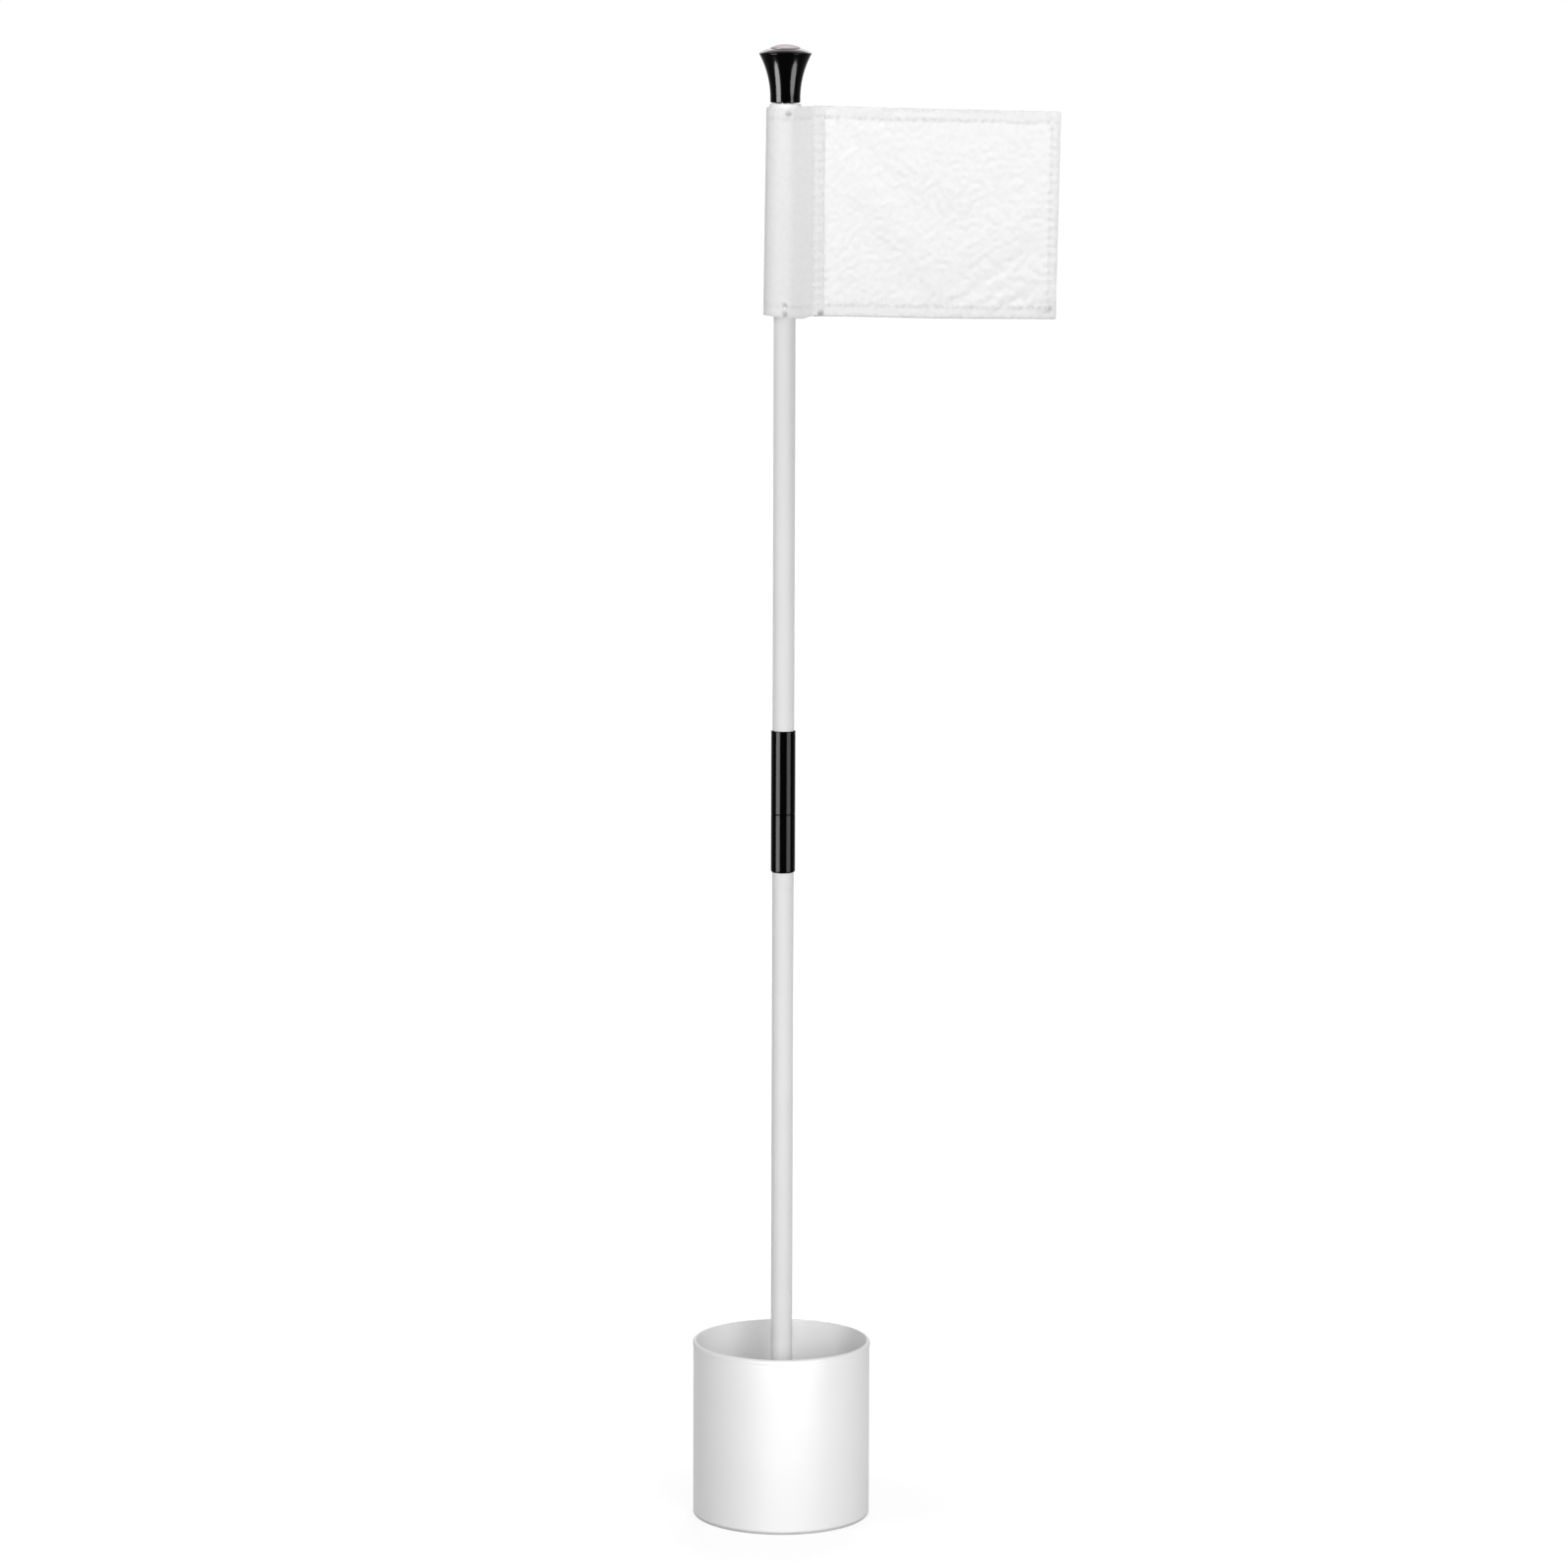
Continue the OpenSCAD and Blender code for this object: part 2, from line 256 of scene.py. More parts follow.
def hang_soft_boxes(groups):
    """Hangs each box once for each group it lights. No piece is in two groups: its light could vary."""
    grouped = [piece for group in groups.values() for piece in group.objects]
    others = [piece for piece in bpy.context.scene.objects if piece.type == "MESH" and piece not in grouped]
    groups = dict(groups, others=group_of("lit_others", others))
    for name, lit, place, aim, width, height, power in SOFT_BOXES:
        for group in lit:
            hang_lamp(f"{name}_{group}", place, aim, width, height, power, lit=groups[group],
                      mirrored_only=name in MIRRORED_BOXES)
    hang_lamp("back_box", *BACK_BOX)


def beside_pole(azimuth, height):
    angle = math.radians(azimuth)
    return Vector((STRIPE_DISTANCE * math.sin(angle), -STRIPE_DISTANCE * math.cos(angle), height))


def hang_stripes(shiny, stripes):
    """Tall narrow lamps beside the pole, which show only as soft stripes on a group of black pieces."""
    for name, top, low, width, power, shape in stripes:
        top, low = beside_pole(*top), beside_pole(*low)
        middle = (top + low) / 2
        lamp = hang_lamp(name, middle, (0, 0, middle.z), width, (top - low).length, power, lit=shiny,
                         mirrored_only=True, up=top - low)
        lamp.data.shape = shape


# ---------------------------------------------------------------- shared material effects

def new_group(name, inputs, outputs):
    """An empty shader node group. Its Vector and Stretch are vectors, and all else is a single value."""
    group = bpy.data.node_groups.new(name, "ShaderNodeTree")
    for side, labels in (("INPUT", inputs), ("OUTPUT", outputs)):
        for label in labels:
            kind = "NodeSocketVector" if label in ("Vector", "Stretch") else "NodeSocketFloat"
            group.interface.new_socket(label, in_out=side, socket_type=kind)
    return group, add(group, "NodeGroupInput").outputs, add(group, "NodeGroupOutput").inputs


def use_group(tree, group, values):
    """A group placed in a material, with its own values; the outputs are returned."""
    node = add(tree, "ShaderNodeGroup", node_tree=group)
    feed_inputs(tree, node, values)
    return node.outputs


def noise_of(tree, vector, scale, detail=2.0, roughness=0.5):
    node = add(tree, "ShaderNodeTexNoise")
    feed_inputs(tree, node, {"Vector": vector, "Scale": scale, "Detail": detail, "Roughness": roughness})
    return node.outputs["Fac"]


def stretched(tree, vector, scale):
    """Coordinates scaled by a vector, so that a pattern is drawn out along one axis."""
    node = add(tree, "ShaderNodeVectorMath", operation="MULTIPLY")
    feed(tree, node.inputs[0], vector)
    feed(tree, node.inputs[1], scale)
    return node.outputs[0]


def make_moulded_skin():
    """The skin of moulded plastic: a fine grain, and broad patches where it cooled unevenly."""
    group, given, out = new_group("moulded_skin", ("Vector", "Grain Scale", "Patch Scale"),
                                  ("Grain", "Patches"))
    grain = noise_of(group, given["Vector"], given["Grain Scale"], 3.0, 0.6)
    patches = noise_of(group, given["Vector"], given["Patch Scale"], 2.0, 0.5)
    feed(group, out["Grain"], grain)
    feed(group, out["Patches"], ease(group, patches, 0.3, 0.7))
    return group


def make_scuffs():
    """Thin handling scratches, drawn out along one axis and broken up in patches."""
    group, given, out = new_group("scuffs", ("Vector", "Stretch", "Amount"), ("Mask",))
    lines = noise_of(group, stretched(group, given["Vector"], given["Stretch"]), 1.0, 4.0, 0.7)
    where = noise_of(group, given["Vector"], 38.0, 1.0)
    thin = ease(group, lines, 0.60, 0.72)
    broken = times(group, thin, ease(group, where, 0.45, 0.7))
    feed(group, out["Mask"], times(group, broken, given["Amount"]))
    return group


def make_tool_marks():
    """Rings that a lathe tool leaves around the pole's axis."""
    group, given, out = new_group("tool_marks", ("Vector", "Rings per metre"), ("Height", "Streaks"))
    xyz = split_xyz(group, given["Vector"])
    squares = [calc(group, "POWER", xyz[axis], 2.0) for axis in "XY"]
    wide = calc(group, "POWER", plus(group, *squares), 0.5)
    along = times(group, plus(group, wide, xyz["Z"]), given["Rings per metre"])
    ring = noise_of(group, along, 1.0, 2.0, 0.6)
    feed(group, out["Height"], ring)
    feed(group, out["Streaks"], ease(group, ring, 0.35, 0.65))
    return group


def make_plain_weave():
    """Plain weave on coordinates in metres: the height of the threads, and the gaps between them."""
    group, given, out = new_group("plain_weave", ("Vector", "Thread Spacing"), ("Height", "Gaps"))
    xyz = split_xyz(group, given["Vector"])
    u, v = (calc(group, "DIVIDE", xyz[axis], given["Thread Spacing"]) for axis in "XY")

    def thread(across, along, shift):
        """A thread that runs along one direction and goes over and under the ones it crosses."""
        profile = calc(group, "ABSOLUTE", calc(group, "SINE", times(group, across, math.pi)))
        turn = plus(group, plus(group, along, calc(group, "FLOOR", across)), shift)
        wave = calc(group, "COSINE", times(group, turn, math.pi))
        lift = calc(group, "MULTIPLY_ADD", wave, 0.5, 0.5)
        return times(group, profile, calc(group, "MULTIPLY_ADD", lift, 0.7, 0.3))

    top = calc(group, "MAXIMUM", thread(u, v, 0.5), thread(v, u, 1.5))
    feed(group, out["Height"], top)
    feed(group, out["Gaps"], ease(group, top, 0.15, 0.45, 1.0, 0.0))
    return group


def make_crumples():
    """Soft creases of handled cloth, on coordinates in metres: their height, and where they fold in."""
    group, given, out = new_group("crumples", ("Vector", "Size"), ("Height", "Creases"))
    scale = calc(group, "DIVIDE", 1.0, given["Size"])
    lumps = noise_of(group, given["Vector"], scale, 3.0, 0.55)
    feed(group, out["Height"], lumps)
    feed(group, out["Creases"], ease(group, lumps, 0.35, 0.6, 1.0, 0.0))
    return group


# how the scuffs' noise is scaled along each axis, which draws them out along the pole
SCUFF_STRETCH = (900.0, 900.0, 30.0)
# heights between which the painted shadow along the cup's foot fades out
FOOT_LINE = (0.8 * MM, 2.8 * MM)
SKIN = make_moulded_skin()
SCUFFS = make_scuffs()
TOOL_MARKS = make_tool_marks()
WEAVE = make_plain_weave()
CRUMPLES = make_crumples()


def new_material(name):
    """A material with only its Principled shader; gives its tree, shader and Object coordinates."""
    material = bpy.data.materials.new(name)
    material.use_nodes = True
    tree = material.node_tree
    place = add(tree, "ShaderNodeTexCoord").outputs["Object"]
    return material, tree, tree.nodes["Principled BSDF"], place


def bump(tree, shader, height, depth, strength=1.0):
    node = add(tree, "ShaderNodeBump")
    feed_inputs(tree, node, {"Strength": strength, "Distance": depth, "Height": height})
    tree.links.new(node.outputs["Normal"], shader.inputs["Normal"])


def plastic(name, colour, rough, specular=0.5, foot_shade=0.0, grain_depth=0.004 * MM, patch_shade=0.02,
            scuff_colour=None):
    """Moulded or extruded plastic with its grain, uneven sheen and light scuffs."""
    material, tree, shader, place = new_material(name)
    skin = use_group(tree, SKIN, {"Vector": place, "Grain Scale": 1400.0, "Patch Scale": 24.0})
    worn = use_group(tree, SCUFFS, {"Vector": place, "Stretch": SCUFF_STRETCH, "Amount": 0.5})["Mask"]
    base = blend_colours(tree, skin["Patches"], colour, shaded(colour, 1 - patch_shade))
    if foot_shade:
        # a painted shadow: the cup's lowest few millimetres darken towards black where it meets the floor
        painted_foot_shadow = ease(tree, split_xyz(tree, place)["Z"], *FOOT_LINE, foot_shade, 0.0)
        base = blend_colours(tree, painted_foot_shadow, base, grey(0.05))
    uneven = calc(tree, "MULTIPLY_ADD", skin["Patches"], 0.05, rough - 0.025)
    feed_inputs(tree, shader, {
        "Base Color": blend_colours(tree, worn, base, scuff_colour or shaded(colour, 0.93)),
        "Roughness": calc(tree, "MULTIPLY_ADD", worn, 0.15, uneven, clamp=True),
        "Specular IOR Level": specular})
    bump(tree, shader, skin["Grain"], grain_depth)
    return material


def metal(name, colour, rough, rings, depth, streak=0.12):
    """Turned metal with the tool's rings and uneven polish."""
    material, tree, shader, place = new_material(name)
    marks = use_group(tree, TOOL_MARKS, {"Vector": place, "Rings per metre": rings})
    skin = use_group(tree, SKIN, {"Vector": place, "Grain Scale": 2200.0, "Patch Scale": 160.0})
    darker = shaded(colour, 1 - streak)
    streaked = blend_colours(tree, marks["Streaks"], darker, colour)
    feed_inputs(tree, shader, {
        "Base Color": blend_colours(tree, times(tree, skin["Patches"], 0.3), streaked, darker),
        "Metallic": 1.0,
        "Roughness": calc(tree, "MULTIPLY_ADD", marks["Streaks"], 0.10, rough)})
    bump(tree, shader, marks["Height"], depth)
    return material


# ---------------------------------------------------------------- modelling helpers

def enter(mode):
    bpy.ops.object.mode_set(mode=mode)


def deselect():
    if bpy.context.object and bpy.context.object.mode != "OBJECT":
        enter("OBJECT")
    bpy.ops.object.select_all(action="DESELECT")


def pick(obj):
    """Makes one object the only one selected, and the active one."""
    deselect()
    obj.select_set(True)
    bpy.context.view_layer.objects.active = obj
    return obj


def join(pieces):
    """Joins pieces into the first of them."""
    pick(pieces[0])
    for piece in pieces:
        piece.select_set(True)
    bpy.ops.object.join()
    return pieces[0]


def apply(obj, kind, **settings):
    """Adds a modifier and applies it."""
    pick(obj)
    modifier = obj.modifiers.new(kind.lower(), kind)
    for name, value in settings.items():
        setattr(modifier, name, value)
    bpy.ops.object.modifier_apply(modifier=modifier.name)


def soften(obj, width, segments=3, angle=math.radians(32)):
    """Rounds the sharp edges and smooths the shading."""
    if width:
        apply(obj, "BEVEL", width=width, segments=segments, limit_method="ANGLE", angle_limit=angle,
              miter_outer="MITER_ARC")
    pick(obj)
    bpy.ops.object.shade_smooth_by_angle(angle=math.radians(50))
    apply(obj, "WEIGHTED_NORMAL", keep_sharp=True, weight=80)


def normals_out(obj):
    pick(obj)
    enter("EDIT")
    bpy.ops.mesh.select_all(action="SELECT")
    bpy.ops.mesh.remove_doubles(threshold=1e-7)
    bpy.ops.mesh.normals_make_consistent(inside=False)
    enter("OBJECT")


def select_ring(obj, radius, height):
    """In edit mode, selects the edges of a turned piece that lie at a radius and a height."""
    enter("OBJECT")
    mesh = obj.data
    near = [abs(math.hypot(v.co.x, v.co.y) - radius) < 1e-6 and abs(v.co.z - height) < 1e-6
            for v in mesh.vertices]
    for vertex, chosen in zip(mesh.vertices, near):
        vertex.select = chosen
    for edge in mesh.edges:
        edge.select = near[edge.vertices[0]] and near[edge.vertices[1]]
    enter("EDIT")


def turn(name, outline, steps=96, hollow=True):
    """A piece turned about the pole's axis. The outline's (radius, height) points run from the first ring
    to the last: a hollow piece joins them, and a solid one is filled, or closed to a point at radius 0."""
    deselect()
    radius, height = outline[0]
    bpy.ops.mesh.primitive_circle_add(vertices=steps, radius=radius, location=(0, 0, height),
                                      fill_type="NOTHING" if hollow else "NGON")
    obj = bpy.context.object
    obj.name = obj.data.name = name
    bpy.ops.object.transform_apply(location=True)
    enter("EDIT")
    bpy.ops.mesh.select_all(action="DESELECT")
    select_ring(obj, radius, height)
    bpy.ops.mesh.select_mode(type="EDGE")
    for new_radius, new_height in outline[1:]:
        bpy.ops.mesh.extrude_edges_move(TRANSFORM_OT_translate={"value": (0, 0, new_height - height)})
        if new_radius == 0:
            bpy.ops.mesh.merge(type="CENTER")
        elif new_radius != radius:
            factor = new_radius / radius
            bpy.ops.transform.resize(value=(factor, factor, 1), center_override=(0, 0, new_height))
        radius, height = new_radius, new_height
    if hollow:
        bpy.ops.mesh.select_all(action="DESELECT")
        first_radius, first_height = outline[0]
        enter("OBJECT")
        ends = [any(abs(math.hypot(v.co.x, v.co.y) - r) < 1e-6 and abs(v.co.z - z) < 1e-6
                    for r, z in ((first_radius, first_height), (radius, height))) for v in obj.data.vertices]
        for edge in obj.data.edges:
            edge.select = ends[edge.vertices[0]] and ends[edge.vertices[1]]
        enter("EDIT")
        bpy.ops.mesh.bridge_edge_loops()
    elif radius != 0:
        bpy.ops.mesh.edge_face_add()
    enter("OBJECT")
    normals_out(obj)
    return obj


def arc(centre_r, centre_z, radius, start, end, count):
    """(radius, height) points on an arc, angles in degrees."""
    return [(centre_r + radius * math.cos(math.radians(start + (end - start) * i / count)),
             centre_z + radius * math.sin(math.radians(start + (end - start) * i / count)))
            for i in range(count + 1)]


def turned(name, outline, steps=96, hollow=True, edge=0.0):
    """A turned piece with its edges eased and its shading smoothed."""
    obj = turn(name, outline, steps, hollow)
    soften(obj, edge)
    return obj


def finish(obj, body, material, slot, *nodes):
    """Gives a piece its finish and its body, and hides the CAD nodes that it stands for."""
    obj.data.materials.clear()
    obj.data.materials.append(material)
    if nodes:
        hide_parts(*nodes)
    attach(obj, body)
    return obj


place_camera()
light_world(ambient=0.22)
lay_floor(bounce=0.65, kept_shade=0.25)

CUP_WHITE = plastic("cup_white_plastic", grey(0.95), rough=0.46, foot_shade=0.45)
POLE_WHITE = plastic("pole_white_plastic", grey(0.83), rough=0.38, specular=0.35)
GLOSS_BLACK = plastic("gloss_black_plastic", grey(0.001), rough=0.14, specular=0.015, patch_shade=0.0,
                      grain_depth=0.0008 * MM, scuff_colour=grey(0.006))
LINER_WHITE = plastic("liner_white_plastic", grey(0.90), rough=0.5)
BADGE_GREY = metal("bare_badge_metal", (0.46, 0.40, 0.43, 1), 0.30, 2600.0, 0.004 * MM)
BRASS = metal("turned_brass", (0.72, 0.53, 0.24, 1), 0.24, 2400.0, 0.01 * MM)
STEEL = metal("turned_steel", (0.62, 0.63, 0.64, 1), 0.26, 2400.0, 0.01 * MM)


# ---------------------------------------------------------------- cup

CUP_WALL = 2.0 * MM
RIM_OUTSIDE = 1.5 * MM
RIM_INSIDE = 0.5 * MM
BEAD_PROUD = 0.30 * MM
BEAD_HEIGHT = 3.2 * MM
FOOT_ROUND = 1.5 * MM
DRAIN_HOLES = 4
DRAIN_RING = 30.0 * MM
DRAIN_HOLE = 6.0 * MM
SOCKET_BORE = 5.9 * MM
SOCKET_LEAD_IN = 2.0 * MM
RIB_THICKNESS = 2.0 * MM
RIB_SUNK = 0.1 * MM
MOULDED_EDGE = 0.4 * MM


def cup_shell():
    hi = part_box("cup_wall")[1]
    outer, rim = hi.x, hi.z
    inner = outer - CUP_WALL
    wall = outer - BEAD_PROUD
    bead = rim - BEAD_HEIGHT
    outline = ([(inner, 0.0)]
               + arc(wall - FOOT_ROUND, FOOT_ROUND, FOOT_ROUND, -90, 0, 6)
               + [(wall, bead - 0.5 * MM), (wall - 0.15 * MM, bead - 0.25 * MM), (wall - 0.15 * MM, bead),
                  (outer - 0.05 * MM, bead + 0.25 * MM), (outer, bead + 0.5 * MM)]
               + arc(outer - RIM_OUTSIDE, rim - RIM_OUTSIDE, RIM_OUTSIDE, 0, 90, 8)
               + arc(inner + RIM_INSIDE, rim - RIM_INSIDE, RIM_INSIDE, 90, 180, 5))
    return finish(turned("cup_shell", outline, steps=192), "cup", CUP_WHITE, "cup_plastic", "cup_wall")


def cup_ball_floor():
    """The floor that the ball drops onto, drilled with drain holes whose edges are eased."""
    lo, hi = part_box("cup_floor")
    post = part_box("cup_socket")[1].x
    plate = turn("cup_ball_floor", [(post, lo.z), (hi.x, lo.z), (hi.x, hi.z), (post, hi.z)], steps=144)
    for number in range(DRAIN_HOLES):
        angle = (number + 0.5) * math.tau / DRAIN_HOLES
        deselect()
        place = (DRAIN_RING * math.cos(angle), DRAIN_RING * math.sin(angle), (lo.z + hi.z) / 2)
        bpy.ops.mesh.primitive_cylinder_add(vertices=40, radius=DRAIN_HOLE, location=place,
                                            depth=4 * (hi.z - lo.z))
        drill = bpy.context.object
        bpy.ops.object.transform_apply(location=True)
        apply(plate, "BOOLEAN", operation="DIFFERENCE", object=drill, solver="EXACT")
        bpy.data.objects.remove(drill)
    soften(plate, MOULDED_EDGE)
    return finish(plate, "cup", CUP_WHITE, "cup_plastic", "cup_floor")


def cup_post():
    """The upright socket, with a lead-in at its mouth."""
    lo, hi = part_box("cup_socket")
    bore, chamfer = SOCKET_BORE, SOCKET_LEAD_IN
    outline = [(bore, lo.z), (hi.x, lo.z), (hi.x, hi.z - chamfer), (hi.x - chamfer, hi.z), (bore, hi.z)]
    post = turned("cup_post", outline, edge=MOULDED_EDGE)
    return finish(post, "cup", CUP_WHITE, "cup_plastic", "cup_socket")


def cup_underside_ribs():
    """Four ribs from the post to the wall: one is shaped, and the others are turned copies of it."""
    lo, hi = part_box("cup_ribs")
    start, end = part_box("cup_socket")[1].x - RIB_SUNK, hi.x
    deselect()
    bpy.ops.mesh.primitive_cube_add(size=1, location=((start + end) / 2, 0, (lo.z + hi.z) / 2),
                                    scale=(end - start, RIB_THICKNESS, hi.z - lo.z))
    rib = bpy.context.object
    rib.name = rib.data.name = "cup_underside_ribs"
    bpy.ops.object.transform_apply(location=True, scale=True)
    apply(rib, "BEVEL", width=0.35 * MM, segments=2)
    enter("EDIT")
    for _ in range(DRAIN_HOLES - 1):
        bpy.ops.mesh.duplicate()
        bpy.ops.transform.rotate(value=math.tau / DRAIN_HOLES, orient_axis="Z", center_override=(0, 0, 0))
    enter("OBJECT")
    soften(rib, 0)
    return finish(rib, "cup", CUP_WHITE, "cup_plastic", "cup_ribs")


# ---------------------------------------------------------------- pole

TUBE_WALL = 1.7 * MM
INSERT_MOUTH = 0.6 * MM
THREAD_PITCH = 1.0 * MM
THREAD_DEPTH = 0.55 * MM
SHANK_RADIUS = 5.8 * MM
NOSE_LENGTH = 4.0 * MM
PLUG_LEAD_IN = 1.0 * MM
CLEAR_BORE = 3.1 * MM
TIGHT_BORE = 3.0 * MM


def pole_tube(name, body, node):
    lo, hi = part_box(node)
    outer, inner = hi.x, hi.x - TUBE_WALL
    outline = [(inner, lo.z), (outer, lo.z), (outer, hi.z), (inner, hi.z)]
    return finish(turned(name, outline, edge=0.25 * MM), body, POLE_WHITE, "pole_plastic", node)


def pole_foot():
    """The moulded tip: a rounded nose, a shank for the socket, a collar and the plug in the tube."""
    lo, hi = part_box("pole_tip")
    collar, tube_z = hi.x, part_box("lower_tube")[0].z
    shank, plug, nose = SHANK_RADIUS, collar - TUBE_WALL, NOSE_LENGTH
    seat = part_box("cup_socket")[1].z
    outline = [(shank - 2.0 * MM, lo.z), (shank - 0.9 * MM, lo.z + 1.2 * MM), (shank, lo.z + nose),
               (shank, seat), (collar, seat), (collar, tube_z), (plug, tube_z),
               (plug, hi.z - PLUG_LEAD_IN), (plug - PLUG_LEAD_IN, hi.z)]
    return finish(turned("pole_foot", outline, hollow=False, edge=0.3 * MM),
                  "lower_section", LINER_WHITE, "liner_plastic", "pole_tip")


def threaded_insert(name, body, node, bore, mouths):
    """A brass bush. Each mouth that shows has a lead-in for the screw."""
    lo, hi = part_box(node)
    low, high = (INSERT_MOUTH if side in mouths else 0.15 * MM for side in ("low", "high"))
    outline = [(bore, lo.z + low), (bore + low, lo.z), (hi.x, lo.z),
               (hi.x, hi.z), (bore + high, hi.z), (bore, hi.z - high)]
    return finish(turned(name, outline, steps=64, edge=0.1 * MM), body, BRASS, "brass", node)


def coupling(name, body, node, low_round, high_round):
    lo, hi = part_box(node)
    outer, bore = hi.x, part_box("lower_tube")[1].x
    outline = ([(bore, lo.z)] + arc(outer - low_round, lo.z + low_round, low_round, -90, 0, 5)
               + arc(outer - high_round, hi.z - high_round, high_round, 0, 90, 4) + [(bore, hi.z)])
    return finish(turned(name, outline, steps=128), body, GLOSS_BLACK, "black_plastic", node)


def screw_thread(name, radius, low, high):
    """A cut thread: one turn of its outline is wound up the axis, and both ends are cut square."""
    deselect()
    bpy.ops.mesh.primitive_circle_add(vertices=3, radius=radius, fill_type="NOTHING")
    screw = bpy.context.object
    screw.name = screw.data.name = name
    start = low - 2 * THREAD_PITCH
    root = radius - THREAD_DEPTH
    ridge = ((root, 0.0), (radius, THREAD_PITCH / 2), (root, THREAD_PITCH))
    for vertex, (out, up) in zip(screw.data.vertices, ridge):
        vertex.co = (out, 0, start + up)
    for edge in screw.data.edges:
        edge.select = set(edge.vertices) == {0, 2}
    enter("EDIT")
    bpy.ops.mesh.select_mode(type="EDGE")
    bpy.ops.mesh.delete(type="EDGE")
    enter("OBJECT")
    apply(screw, "SCREW", axis="Z", steps=28, render_steps=28, screw_offset=THREAD_PITCH,
          iterations=math.ceil((high - start) / THREAD_PITCH) + 2, use_merge_vertices=True,
          merge_threshold=1e-6, use_smooth_shade=False)
    enter("EDIT")
    for height, side in ((low, "inner"), (high, "outer")):
        bpy.ops.mesh.select_all(action="SELECT")
        bpy.ops.mesh.bisect(plane_co=(0, 0, height), plane_no=(0, 0, 1), use_fill=True,
                            clear_inner=side == "inner", clear_outer=side == "outer")
    enter("OBJECT")
    normals_out(screw)
    return screw


def coupling_screw():
    lo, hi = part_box("coupling_stud")
    screw = screw_thread("coupling_screw", hi.x, lo.z, hi.z)
    soften(screw, 0)
    return finish(screw, "upper_section", STEEL, "steel", "coupling_stud")


# ---------------------------------------------------------------- knob

NECK_RADIUS = 8.9 * MM
NECK_STRAIGHT = 2.5 * MM
NECK_CORNER = 0.8 * MM
FLARE_RADIUS = 55.0 * MM
LIP_ROUND = 0.25 * MM
SHOULDER_RADIUS = 12.7 * MM
SHOULDER_SLOPE = 5.0
BADGE_DOME = 22.0 * MM
BADGE_EDGE = 0.15 * MM
KNOB_BORE = 18.0 * MM
COLLAR_SUNK = 1.0 * MM


def flared_knob():
    """The knob: a straight neck, a concave flare, a crisp lip, a round shoulder and the badge's seat."""
    lo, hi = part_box("knob_body")
    neck, lip = NECK_RADIUS, hi.x - LIP_ROUND
    stud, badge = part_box("coupling_stud")[1].x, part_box("knob_badge")[1].x
    flare_x = neck + FLARE_RADIUS
    lip_angle = math.acos((flare_x - lip) / (FLARE_RADIUS + LIP_ROUND))
    lip_z = lo.z + NECK_STRAIGHT + (FLARE_RADIUS + LIP_ROUND) * math.sin(lip_angle)
    shoulder_x = badge - SHOULDER_RADIUS * math.sin(math.radians(SHOULDER_SLOPE))
    shoulder_z = lip_z - math.sqrt((SHOULDER_RADIUS - LIP_ROUND) ** 2 - (lip - shoulder_x) ** 2)
    shoulder_angle = math.degrees(math.atan2(lip_z - shoulder_z, lip - shoulder_x))
    lip_angle = math.degrees(lip_angle)
    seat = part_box("knob_badge")[0].z
    outline = ([(stud, lo.z + KNOB_BORE), (stud, lo.z)]
               + arc(neck - NECK_CORNER, lo.z + NECK_CORNER, NECK_CORNER, -90, 0, 5)
               + arc(flare_x, lo.z + NECK_STRAIGHT, FLARE_RADIUS, 180, 180 - lip_angle, 22)
               + arc(lip, lip_z, LIP_ROUND, -lip_angle, shoulder_angle, 6)[1:]
               + arc(shoulder_x, shoulder_z, SHOULDER_RADIUS, shoulder_angle, 90 - SHOULDER_SLOPE, 12)[1:]
               + [(badge, seat), (0, seat)])
    return finish(turned("flared_knob", outline, steps=144, hollow=False),
                  "knob", GLOSS_BLACK, "black_plastic", "knob_body")


def badge_disc():
    """The bare metal disc let into the knob's top: a small upright edge and a low dome."""
    lo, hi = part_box("knob_badge")
    radius = hi.x
    centre = hi.z - BADGE_DOME
    edge_r = radius - BADGE_EDGE
    edge_angle = math.degrees(math.acos(edge_r / BADGE_DOME))
    dome = arc(0, centre, BADGE_DOME, edge_angle, 88, 10)
    edge_z = dome[0][1] - BADGE_EDGE
    outline = [(radius, lo.z)] + arc(edge_r, edge_z, BADGE_EDGE, 0, 75, 4) + dome[1:] + [(0, hi.z)]
    return finish(turned("badge_disc", outline, hollow=False), "knob", BADGE_GREY, "badge", "knob_badge")


def knob_screw():
    """The stud under the knob, and the collar that holds the knob off the pole."""
    lo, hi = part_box("knob_stud")
    collar_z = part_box("upper_tube")[1].z
    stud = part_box("coupling_stud")[1].x
    screw = screw_thread("knob_screw", stud, lo.z, hi.z)
    knob_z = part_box("knob_body")[0].z
    bore = stud - COLLAR_SUNK
    collar = turn("collar", [(bore, collar_z), (hi.x, collar_z), (hi.x, knob_z), (bore, knob_z)], steps=64)
    join([screw, collar])
    soften(screw, 0)
    return finish(screw, "knob", STEEL, "steel", "knob_stud")


# ---------------------------------------------------------------- flag

LINER_BORE = 7.0 * MM
LIP_BORE = 4.6 * MM
LIP_THICKNESS = 2.2 * MM
CLOTH_THICKNESS = 0.45 * MM
CLOTH_TO_LINER = 0.28 * MM
FLAP_END = 23.3 * MM
SEAM_START = 16.5 * MM
FLAP_PROUD = 0.55 * MM
HEM_WIDTH = 7.0 * MM
HEM_THICKNESS = 0.45 * MM
STITCH_INSET = 6.5 * MM
FLY_STITCH_INSET = 4.6 * MM
STITCH_STEP = 2.6 * MM
STITCH_HALF = 0.6 * MM
THREAD_SPACING = 0.45 * MM
